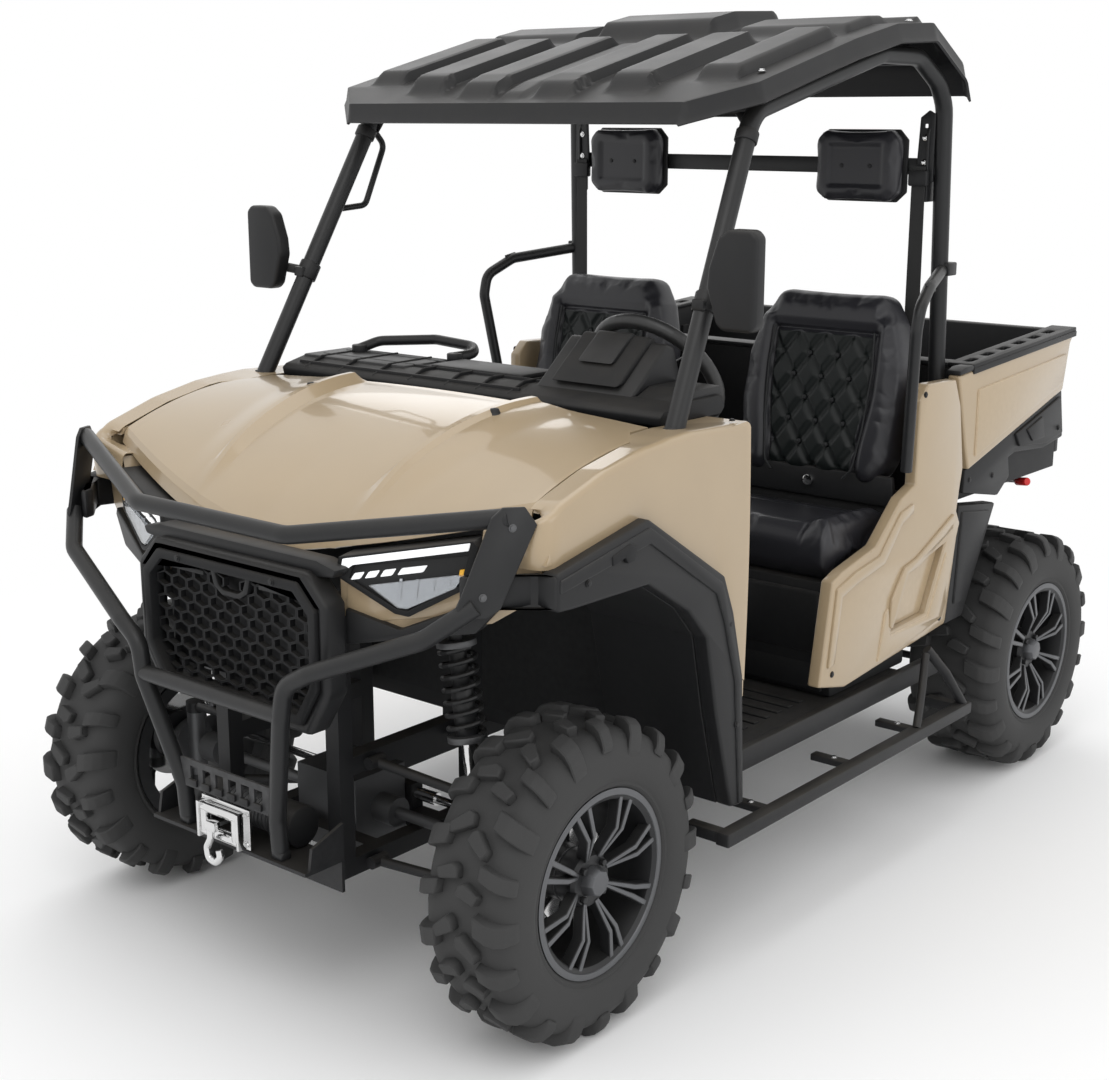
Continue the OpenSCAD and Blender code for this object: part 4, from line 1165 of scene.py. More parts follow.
@dataclass
class Guard:
    """Front bumper, winch and fairlead."""

    tube: float = 19.0
    plate_turn: float = -30.0

    def build(self) -> None:
        """Builds the bumper and the winch."""
        self._bumper()
        self._winch()

    def _bumper(self) -> None:
        """Builds the bent tubes and their end plates."""
        bar = Piece("front_bumper_tubes")
        bar.pipe(TUBE_BLACK,
                 [(-662, -1225, 1136), (-234, -1404, 1069), (234, -1404, 1069), (662, -1225, 1136)],
                 self.tube, 70, 24)
        bar.pipe(TUBE_BLACK, [(-224, -1425, 697), (224, -1425, 697)], self.tube - 1, 20, 24)
        bar.pipe(TUBE_BLACK, [(633, -1290, 972), (556, -1352, 905), (300, -1417, 800), (234, -1423, 762),
                              (222, -1425, 690), (152, -1384, 443), (152, -1380, 373)], self.tube, 60, 24,
                 mirrored=True)
        turned = Matrix.Translation((654, -1250, 0)) @ Matrix.Rotation(math.radians(self.plate_turn), 4, "Z")
        turned = turned @ Matrix.Translation((-654, 1250, 0))
        bar.plate(TUBE_BLACK, Axis.X, 650, 658, [(-1262, 1140), (-1240, 1158), (-1196, 1156), (-1172, 1120),
                                                 (-1246, 962), (-1276, 946), (-1322, 948), (-1334, 972),
                                                 (-1322, 996)], 2, 2, turned, True)
        bar.plate(TUBE_BLACK, Axis.X, 136, 168, [(-1392, 353), (-1364, 353), (-1364, 372), (-1392, 372)], 2,
                  1, mirrored=True)
        bar.screws(GREY_METAL, [(671.5, -1228, 1118), (641.5, -1279.7, 988)], (0.866, -0.5, 0), 6, 3,
                   mirrored=True)
        bar.finish(["front_bumper"], 50)

    def _winch(self) -> None:
        """Builds the winch drum and motors, the roller fairlead, the plate and the hook."""
        winch = Piece("winch_and_fairlead")
        winch.rod(FRAME_BLACK, (-150, -1311, 401), (-80, -1311, 401), 46, 40, 5)
        winch.rod(FRAME_BLACK, (80, -1311, 401), (150, -1311, 401), 46, 40, 5)
        winch.rod(STEEL, (-82, -1311, 401), (82, -1311, 401), 32, 40, 2)
        for x in range(-72, 80, 12):
            winch.rod(GREY_METAL, (x - 5, -1311, 401), (x + 5, -1311, 401), 36, 32, 3)
        winch.plate(STEEL, Axis.Y, -1398, -1390.3, [(-78, 354), (78, 354), (78, 445), (-78, 445)], 1.5, 2,
                    hole=[[(-52, 378), (52, 378), (52, 420), (-52, 420)]])
        for z in (372, 426):
            winch.rod(STEEL, (-62, -1410, z), (62, -1410, z), 11, 28, 2)
        for x in (-50, 50):
            winch.rod(STEEL, (x, -1412, 374), (x, -1412, 424), 10.5, 28, 2)
        winch.block(STEEL, (60, -1423, 358), (68, -1397, 440), 1.5, mirrored=True)
        winch.screws(STEEL, [(-71, -1398, 366), (71, -1398, 366), (-71, -1398, 434), (71, -1398, 434)],
                     (0, -1, 0), 4.5, 3)
        winch.pipe(STEEL, [(-8, -1434, 408), (-8, -1434, 372), (-22, -1434, 350), (-18, -1434, 324),
                           (6, -1434, 320), (22, -1434, 336), (18, -1434, 352)], 8, 16, 14)
        winch.block(STEEL, (-16, -1442, 392), (14, -1424, 414), 3)
        winch.rod(STEEL, (-18, -1433, 403), (16, -1433, 403), 5, 12, 1)
        winch.rod(GREY_METAL, (0, -1425, 400), (0, -1345, 400), 4, 12, 0.5)
        winch.finish(["winch", "fairlead"])
        plate = Piece("winch_plate_slots")
        for x in (-105, -62, -20, 22, 64, 106):
            plate.block(FRAME_BLACK, (x - 13, -1401, 455), (x + 13, -1395, 470), 1)
        plate.plate(FRAME_BLACK, Axis.Y, -1394, -1388, [(-150, 448), (150, 448), (150, 512), (-150, 512)],
                    2, 1, hole=[[(x - 13, 462), (x + 13, 462), (x + 13, 498), (x - 13, 498)] for x in (-105,
                                    -63, -21, 21, 63, 105)])
        plate.finish()


# ------------------------------------------------------------------ cab


@dataclass
class Cab:
    """Roll cage, roof, mirrors, dashboard, steering wheel and belts."""

    cage: float = 22.0
    roof_half: float = 650.0
    nose_half: float = 512.0
    roof_line: tuple[Flat, ...] = ((-502, 1890), (-378, 1938), (21, 2040), (213, 2080), (388, 2088),
                                   (554, 1996), (578, 1946))
    roof_panels: tuple[tuple[float, float, float, float, float], ...] = (
        (60, 178, -470, 40, 26), (250, 372, -440, 20, 30), (450, 566, -372, 60, 28), (250, 566, 70, 300, 20),
        (196, 372, 330, 520, 14), (430, 600, 340, 520, 16))
    lip: float = 11.0

    def build(self) -> None:
        """Builds the pieces of the cab."""
        self._cage()
        self._roof()
        self._mirrors()
        self._cowl()
        self._wheel()
        self._handles()
        self._belts()

    @staticmethod
    def _pillar(height: float) -> Vector:
        """Point on the axis of the left front pillar."""
        low, high = Vector((650, -698, 1200)), Vector((590, -342, 1852))
        return low + (high - low) * ((height - low.z) / (high.z - low.z))

    def _cage(self) -> None:
        """Builds the bent cage tubes, cross bars, hip bars, tabs and gussets."""
        cage = Piece("roll_cage_tubes")
        r = self.cage
        cage.pipe(TUBE_BLACK, [(647, -650, 962), (650, -698, 1200), (590, -342, 1852), (586, -306, 1880),
                               (588, 21, 1962), (592, 213, 2010), (596, 388, 2008), (600, 492, 1946),
                               (602, 528, 1890), (608, 550, 1180), (608, 554, 782)], r, 90, 24,
                  mirrored=True)
        cage.pipe(TUBE_BLACK,
                  [(610, 550, 1478), (690, 330, 1452), (714, 242, 1408), (714, 228, 1350), (676, 283, 990)],
                  15, 50, 18, mirrored=True)
        cage.rod(TUBE_BLACK, (-586, -306, 1880), (586, -306, 1880), 16, 24)
        cage.rod(TUBE_BLACK, (-596, 388, 2004), (596, 388, 2004), 16, 24)
        cage.block(TUBE_BLACK, (-600, 515, 1718), (600, 525, 1760), 3)
        cage.plate(TUBE_BLACK, Axis.X, 570, 578,
                   [(500, 1650), (540, 1650), (540, 1850), (512, 1850), (500, 1820)], 2, 2, mirrored=True)
        cage.plate(TUBE_BLACK, Axis.Y, 506, 514,
                   [(540, 1700), (590, 1700), (590, 1870), (572, 1880), (548, 1862)], 2, 2, mirrored=True,
                   hole=[[(560, 1722), (570, 1722), (570, 1732), (560, 1732)],
                         [(560, 1836), (570, 1836), (570, 1846), (560, 1846)]])
        cage.screws(STEEL, [(565, 505, 1750), (565, 505, 1812), (300, 515, 1739), (460, 515, 1739)],
                    (0, -1, 0), 6, 3, mirrored=True)
        cage.plate(TUBE_BLACK, Axis.Y, -330, -324,
                   [(540, 1872), (566, 1872), (590, 1830), (580, 1822), (566, 1838)], 1.5, 1, mirrored=True)
        for height in (1212, 1822):
            spot = self._pillar(height)
            way = (self._pillar(1300) - self._pillar(1200)).normalized() * 13
            cage.rod(FRAME_BLACK, tuple(spot - way), tuple(spot + way), r + 4, 24, 2, mirrored=True)
        cage.screws(STEEL, [(665, -712, 1190), (668, -690, 1214)], (0.6, -0.8, 0.2), 6, 4, mirrored=True)
        cage.plate(TUBE_BLACK, Axis.X, 690, 698, [(300, 1462), (345, 1470), (352, 1440), (318, 1432)], 2, 1,
                   mirrored=True)
        cage.block(TUBE_BLACK, (600, 528, 1462), (640, 572, 1496), 4, mirrored=True)
        cage.finish(["roll_cage"], 50)

    def _roof_point(self, u: float, v: float) -> Point:
        """Place of a point of the moulded roof.

        Args:
            u: Share across, from right to left.
            v: Share along, from front to rear.

        Returns:
            The point.
        """
        y = -502 + 1080 * v
        width = self.roof_half if y > -378 else self.nose_half + (y
                + 502) / 124 * (self.roof_half - self.nose_half)
        side = 2 * u - 1
        edge = abs(side)
        x = side * width
        (z,) = between(self.roof_line, y)
        far = abs(x)
        for low, high, start, end, tall in self.roof_panels:
            across = ease((far - low) / self.lip) * ease((high - far) / self.lip)
            z += tall * (across * ease((y - start) / 46) * ease((end - y) / 34))
        z += 44 * ease((188 - far) / 20) * ease((y - 60) / 60) * ease((430 - y) / 24)
        z += 9 * ease((40 - far) / 14) * ease((y + 470) / 30) * ease((30 - y) / 30)
        z -= max(44 * ease((edge - 0.975) / 0.02), 40 * ease((0.012 - v) / 0.01),
                 30 * ease((v - 0.988) / 0.01))
        return x, y, min(z, 2138.0)

    def _roof(self) -> None:
        """Builds the roof shell, its underside ribs and its bolts."""
        roof = Piece("roof_moulding")
        roof.skin(ROOF_BLACK, 170, 150, self._roof_point, 6)
        for y, z in ((-300, 1906), (-60, 1966), (200, 2030), (420, 2040)):
            roof.block(ROOF_BLACK, (-560, y - 12, z), (560, y + 12, z + 22), 4)
        for x in (-560, 545):
            for y, z in ((-306, 1900), (388, 2024)):
                roof.block(FRAME_BLACK, (x, y - 20, z), (x + 15, y + 20, z + 26), 2)
        roof.screws(STEEL, [(588, -300, 1962), (592, 340, 2091), (300, 470, 2050)], (0, 0, 1), 7, 3,
                    mirrored=True)
        roof.finish(["roof"], 38)

    def _mirrors(self) -> None:
        """Builds the side mirrors with their clamps and stalks."""
        mirror = Piece("side_mirrors")
        outline = [(664, 1520), (688, 1444), (704, 1430), (776, 1430), (789, 1444), (789, 1626),
                   (775, 1641), (716, 1641), (690, 1622), (668, 1560)]
        mirror.plate(BLACK, Axis.Y, -606, -566, outline, 11, 4, mirrored=True)
        inner = [(676, 1522), (698, 1450), (708, 1440), (772, 1440), (780, 1450), (780, 1620), (770, 1631),
                 (720, 1631), (698, 1614), (680, 1558)]
        mirror.plate(STEEL, Axis.Y, -566.5, -564.5, inner, 0.6, 1, mirrored=True)
        seat = self._pillar(1478)
        way = (self._pillar(1500) - self._pillar(1400)).normalized() * 22
        mirror.rod(BLACK, tuple(seat - way), tuple(seat + way), self.cage + 5, 24, 3, mirrored=True)
        mirror.rod(BLACK, (seat.x + 24, seat.y, 1478), (738, -578, 1492), 12, 20, 3, mirrored=True)
        mirror.block(BLACK, (seat.x - 14, seat.y - 34, 1466), (seat.x + 18, seat.y - 18, 1490), 4,
                     mirrored=True)
        mirror.block(BLACK, (700, -570, 1474), (726, -552, 1506), 5, mirrored=True)
        mirror.finish(["mirrors"])

    def _cowl(self) -> None:
        """Builds the ribbed cowl, the dashboard and the instrument pod."""
        cowl = Piece("cowl_and_dashboard")
        cowl.plate(BLACK_GRAIN, Axis.X, -600, 600, [(-664, 1223), (-670, 1244), (-656, 1254), (-598, 1267),
                                                    (-438, 1267), (-425, 1240), (-440, 1223)], 5, 2)
        for x in (-520, -400, -280, -160, -40, 60, 160):
            cowl.plate(BLACK_GRAIN, Axis.X, x - 3, x + 3,
                       [(-660, 1240), (-600, 1262), (-450, 1264), (-450, 1276), (-604, 1275), (-660, 1254)],
                       2, 1)
        for y in (-640, -560, -480):
            cowl.block(BLACK_GRAIN, (-560, y - 4, 1250), (180, y + 4, 1273 if y > -600 else 1264), 2)
        cowl.block(BLACK, (-594, -600, 1262), (-230, -440, 1272), 5)
        cowl.block(BLACK, (-180, -560, 1262), (120, -440, 1278), 6)
        cowl.plate(BLACK, Axis.X, 190, 470,
                   [(-604, 1262), (-470, 1372), (-440, 1362), (-414, 1290), (-436, 1262)], 9, 3)
        cowl.plate(BLACK_GRAIN, Axis.X, 232, 428, [(-600, 1282), (-474, 1384), (-452, 1376), (-430, 1300)],
                   8, 3)
        cowl.plate(BLACK, Axis.X, 280, 380, [(-560, 1326), (-480, 1390), (-464, 1384), (-450, 1330)], 6, 2)
        cowl.plate(BLACK, Axis.X, 470, 590, [(-600, 1262), (-540, 1286), (-430, 1286), (-424, 1262)], 6, 2)
        cowl.plate(BLACK, Axis.X, -600, 600, [(-600, 940), (-600, 1221), (-452, 1221), (-416, 1194),
                                              (-428, 1020), (-496, 906), (-612, 906), (-612, 936)], 8, 3)
        for x in (-520, -250):
            cowl.block(BLACK_GRAIN, (x, -438, 1040), (x + 220, -412, 1180), 8)
        cowl.block(BLACK_GRAIN, (-10, -440, 1030), (150, -408, 1190), 8)
        cowl.block(BLACK_GRAIN, (-600, -533, 872), (600, -512, 925), 2)
        cowl.block(BLACK_GRAIN, (-598, -726, 1196), (598, -650, 1207), 2)
        for x in (40, 80, 120):
            cowl.rod(STEEL, (x, -412, 1150), (x, -402, 1150), 9, 20, 1.5)
        cowl.finish(["cowl", "dashboard", "instrument_pod"])

    def _wheel(self) -> None:
        """Builds the thick-rimmed three-spoke steering wheel."""
        wheel = Piece("steering_wheel_rim", "steering_wheel")
        centre = Vector((340, -330, 1280))
        turn = Vector((0, 0, 1)).rotation_difference(Vector((0, 0.804,
                                                             0.595)).normalized()).to_matrix().to_4x4()
        place = Matrix.Translation(centre) @ turn
        ring = [place @ Vector((160 * math.cos(a), 160 * math.sin(a), 0)) for a in (math.tau * k / 48
                    for k in range(48))]
        wheel.pipe(GRIP, [tuple(p) for p in ring], 17.5, 5, 18, closed=True)
        wheel.lathe(BLACK, [(0.01, -24), (46, -22), (50, -8), (44, 8), (30, 15), (0.01, 17)], tuple(centre),
                    turn, 40)
        for angle in (90, 205, 335):
            spin = place @ Matrix.Rotation(math.radians(angle), 4, "Z")
            wheel.plate(BLACK, Axis.Z, -12, 2,
                        [(30, -24), (90, -13), (152, -20), (152, 20), (90, 13), (30, 24)], 4, 3, spin)
            wheel.plate(STEEL, Axis.Z, 1, 4, [(60, -9), (126, -7), (126, 7), (60, 9)], 1.2, 2, spin)
        wheel.rod(FRAME_BLACK, tuple(place @ Vector((0, 0, -150))), tuple(place @ Vector((0, 0, -20))), 17,
                  24, 2)
        wheel.finish(["steering_wheel"], 45)

    def _handles(self) -> None:
        """Builds the tubular grab handles."""
        handle = Piece("grab_handle_tubes")
        handle.pipe(TUBE_BLACK, [(-510, -480, 1279.5), (-490, -428, 1296), (-350, -360, 1304),
                                 (-225, -356, 1296), (-190, -388, 1284), (-205, -445, 1279.5)], 13, 40, 18)
        top, low = self._pillar(1826), self._pillar(1632)
        handle.pipe(TUBE_BLACK, [(-top.x, top.y + 30, top.z), (-597, -289, 1791), (-600, -360, 1638),
                                 (-low.x, low.y + 30, low.z)], 8, 26, 14)
        for x, y in ((-510, -480), (-205, -445)):
            handle.rod(BLACK, (x, y, 1266), (x, y, 1290), 20, 24, 3)
        handle.finish(["grab_handles"], 45)

    def _belts(self) -> None:
        """Builds the lap and shoulder straps with their guides and buckles."""
        belt = Piece("seat_belt_straps")
        belt.plate(BELT, Axis.Y, 492, 495, [(534, 1000), (580, 1000), (576, 1740), (538, 1740)], 0.8, 1,
                   mirrored=True)
        belt.block(BLACK, (530, 484, 1690), (584, 504, 1730), 5, mirrored=True)
        belt.block(BLACK, (528, 478, 980), (586, 512, 1070), 7, mirrored=True)
        belt.block(BLACK, (70, 250, 880), (92, 276, 960), 5, mirrored=True)
        belt.block(RED, (72, 252, 958), (90, 274, 966), 2, mirrored=True)
        belt.finish(["seat_belts"])


@dataclass
class Seats:
    """Bucket seats, headrests and the pedestal that carries them."""

    middle: float = 374.0
    caps: dict[str, float] = field(default_factory=lambda: {"cushion": 12.0, "back": 13.0, "headrest": 7.0})

    def build(self) -> None:
        """Builds both seats, their piping and buttons, and the headrests."""
        for side, name in ((1, "left"), (-1, "right")):
            self._cushion(side, name)
            self._back(side, name)
            self._headrest(side, name)
        self._trim()

    def _soften(self, obj: bpy.types.Object, voxel: float, cap: float, subdivide: bool) -> None:
        """Inflates a pad by cloth simulation and applies the result.

        Args:
            obj: The pad, in metres.
            voxel: Remesh size in metres.
            cap: Most that a point may move, in metres.
            subdivide: Whether the result is subdivided once.
        """
        scene = bpy.context.scene
        remesh = obj.modifiers.new("remesh", "REMESH")
        remesh.mode = "VOXEL"
        remesh.voxel_size = voxel
        remesh.use_smooth_shade = True
        self._apply(obj)
        rest = [v.co.copy() for v in obj.data.vertices]
        cloth = obj.modifiers.new("cloth", "CLOTH")
        cloth.settings.use_pressure = True
        cloth.settings.uniform_pressure_force = 4.0
        cloth.settings.effector_weights.gravity = 0.0
        cloth.settings.quality = 4
        for number in range(1, 21):
            scene.frame_set(number)
        self._apply(obj)
        scene.frame_set(1)
        for vert, start in zip(obj.data.vertices, rest):
            move = vert.co - start
            if move.length > cap:
                vert.co = start + move * (cap / move.length)
        if subdivide:
            level = obj.modifiers.new("smooth", "SUBSURF")
            level.levels = level.render_levels = 1
            self._apply(obj)
        for polygon in obj.data.polygons:
            polygon.use_smooth = True

    @staticmethod
    def _apply(obj: bpy.types.Object) -> None:
        """Bakes the modifiers of a pad into its mesh.

        Args:
            obj: The pad.
        """
        graph = bpy.context.evaluated_depsgraph_get()
        graph.update()
        shaped = bpy.data.meshes.new_from_object(obj.evaluated_get(graph))
        obj.modifiers.clear()
        old, obj.data = obj.data, shaped
        bpy.data.meshes.remove(old)

    def _outward(self, side: int, x: float) -> float:
        """Distance of a point from the middle of its seat, outwards positive."""
        return side * x - self.middle

    def _cushion(self, side: int, name: str) -> None:
        """Builds one seat cushion with a raised outer bolster and sewn channels.

        Args:
            side: 1 for the left seat and -1 for the right one.
            name: Name of the side.
        """
        pad = Piece(f"seat_cushion_{name}")
        x0, x1 = sorted((side * 120, side * 628))
        pad.plate(VINYL, Axis.X, x0, x1, [(-18, 778), (-24, 836), (2, 872), (120, 868), (290, 858),
                                          (312, 842), (312, 753), (10, 753)], 24, 4)
        obj = pad.finish(["seat_cushions"])
        self._soften(obj, 0.007, self.caps["cushion"] * MM, False)
        for vert in obj.data.vertices:
            x, y, z = (c / MM for c in vert.co)
            if z < 815:
                continue
            off = self._outward(side, x)
            rise = 14 * ease((abs(off) - 170) / 40) - 7 * ease(1 - abs(abs(off) - 172) / 8)
            rise -= 6 * ease(1 - abs(y - 215) / 7) * (1 if abs(off) < 172 else 0)
            vert.co.z += rise * MM * ease((z - 815) / 35) * ease((250 - abs(off)) / 20)

    def _back(self, side: int, name: str) -> None:
        """Builds one seat back with bolsters and a diamond-quilted centre.

        Args:
            side: 1 for the left seat and -1 for the right one.
            name: Name of the side.
        """
        pad = Piece(f"seat_back_{name}")
        lean = Matrix.Rotation(-math.atan2(82, 450), 4, "X")
        face = Matrix.Translation((side * self.middle, 300, 925)) @ lean
        outline = [(-196, 0), (196, 0), (236, 60), (252, 200), (246, 330), (214, 440), (168, 512),
                   (-168, 512), (-214, 440), (-246, 330), (-252, 200), (-236, 60)]
        pad.plate(VINYL, Axis.Y, 12, 96, outline, 26, 4, face)
        obj = pad.finish(["seat_backs"])
        self._soften(obj, 0.007, self.caps["back"] * MM, True)
        back = face.inverted()
        normal = face.to_3x3() @ Vector((0, -1, 0))
        obj.data.materials.append(QUILT.material())
        marks = set()
        for vert in obj.data.vertices:
            p = back @ (vert.co / MM)
            if p.y > 50:
                continue
            front_share = ease((50 - p.y) / 30)
            centre = 132 + 22 * ease((p.z - 60) / 200)
            edge = abs(p.x) - centre
            lift = 20 * ease((edge + 4) / 34) * ease((460 - p.z) / 60)
            lift += 10 * ease((p.z - 400) / 30)
            lift -= 10 * ease(1 - abs(edge) / 9) * ease((410 - p.z) / 20)
            lift -= 9 * ease(1 - abs(p.z - 398) / 9) * (1 if edge < 0 else 0)
            if edge < -6 and 20 < p.z < 390:
                marks.add(vert.index)
                a, b = (p.x / 84 + (p.z - 40) / 118), (p.x / 84 - (p.z - 40) / 118)
                seam = min(abs(a - round(a)), abs(b - round(b)))
                lift += 8 * ease(seam / 0.26) - 5
                if max(abs(a - round(a)), abs(b - round(b))) < 0.11:
                    lift -= 4
            vert.co += normal * lift * MM * front_share
        for polygon in obj.data.polygons:
            if all(i in marks for i in polygon.vertices):
                polygon.material_index = len(obj.data.materials) - 1
        studs = Piece(f"seat_back_buttons_{name}")
        for i in range(-4, 5):
            for j in range(-4, 8):
                if (i + j) % 2:
                    continue
                x, z = i * 42, 40 + j * 59
                if abs(x) < 126 and 40 < z < 380:
                    spot = face @ Vector((x, 2, z))
                    studs.lathe(PIPING, [(0.01, -4), (7, -4), (6, 2), (0.01, 4)], tuple(spot),
                                face.to_3x3().to_4x4() @ Matrix.Rotation(math.pi / 2, 4, "X"), 12)
        rim = [(-150, 400), (-158, 300), (-150, 150), (-134, 40), (-110, 16)]
        for flip in (1, -1):
            line = [tuple(face @ Vector((flip * x, -10, z))) for x, z in rim]
            studs.pipe(PIPING, line, 3.2, 60, 10)
        studs.finish()

    def _headrest(self, side: int, name: str) -> None:
        """Builds one headrest pad with a pressed panel and two bolts.

        Args:
            side: 1 for the left seat and -1 for the right one.
            name: Name of the side.
        """
        pad = Piece(f"headrest_{name}")
        cx = side * 385
        outline = [(cx - 128, 1672), (cx - 100, 1646), (cx + 100, 1646), (cx + 128, 1672), (cx + 128, 1806),
                   (cx + 104, 1832), (cx - 104, 1832), (cx - 128, 1806)]
        pad.plate(VINYL, Axis.Y, 468, 510, outline, 10, 3)
        obj = pad.finish(["headrests"])
        self._soften(obj, 0.006, self.caps["headrest"] * MM, False)
        for vert in obj.data.vertices:
            x, y, z = vert.co.x / MM - cx, vert.co.y / MM, vert.co.z / MM - 1739
            if y < 480:
                frame_share = max(abs(x) / 78, abs(z) / 52)
                vert.co.y += MM * 7 * ease((1.06 - frame_share) / 0.08)
        mount = Piece(f"headrest_mount_{name}")
        mount.screws(FRAME_BLACK, [(cx - 42, 470, 1739), (cx + 42, 470, 1739)], (0, -1, 0), 6, 3)
        mount.plate(BLACK, Axis.Y, 505, 513, [(o * 1.03 - cx * 0.03, z) for o, z in outline], 3, 2)
        mount.block(FRAME_BLACK, (cx - 60, 508, 1705), (cx + 60, 534, 1770), 3)
        mount.finish()

    def _trim(self) -> None:
        """Builds the pedestal, the panel behind the cushions and the centre knob."""
        base = Piece("seat_pedestal_panels")
        outline = [(10, 446), (-6, 560), (2, 744), (325, 744), (325, 914), (387, 914), (387, 446)]
        base.plate(BLACK_GRAIN, Axis.X, -640, 640, outline, 8, 2)
        for x in (130, 390):
            base.block(BLACK, (x, -12, 560), (x + 220, 8, 720), 10, mirrored=True)
        base.plate(BLACK, Axis.Y, -2, 18, [(40, 460), (620, 460), (600, 540), (60, 540)], 6, 2, mirrored=True)
        base.plate(BLACK, Axis.X, -110, 110, [(20, 745), (60, 800), (300, 800), (324, 745)], 10, 3)
        base.plate(BLACK, Axis.Y, 312, 330, [(-630, 880), (630, 880), (620, 960), (-620, 960)], 6, 2)
        for x in (self.middle, -self.middle):
            base.rod(STEEL, (x, 318, 924), (x, 300, 924), 15, 28, 3)
        base.finish(["seat_base"])


# ------------------------------------------------------------------ rear and underside


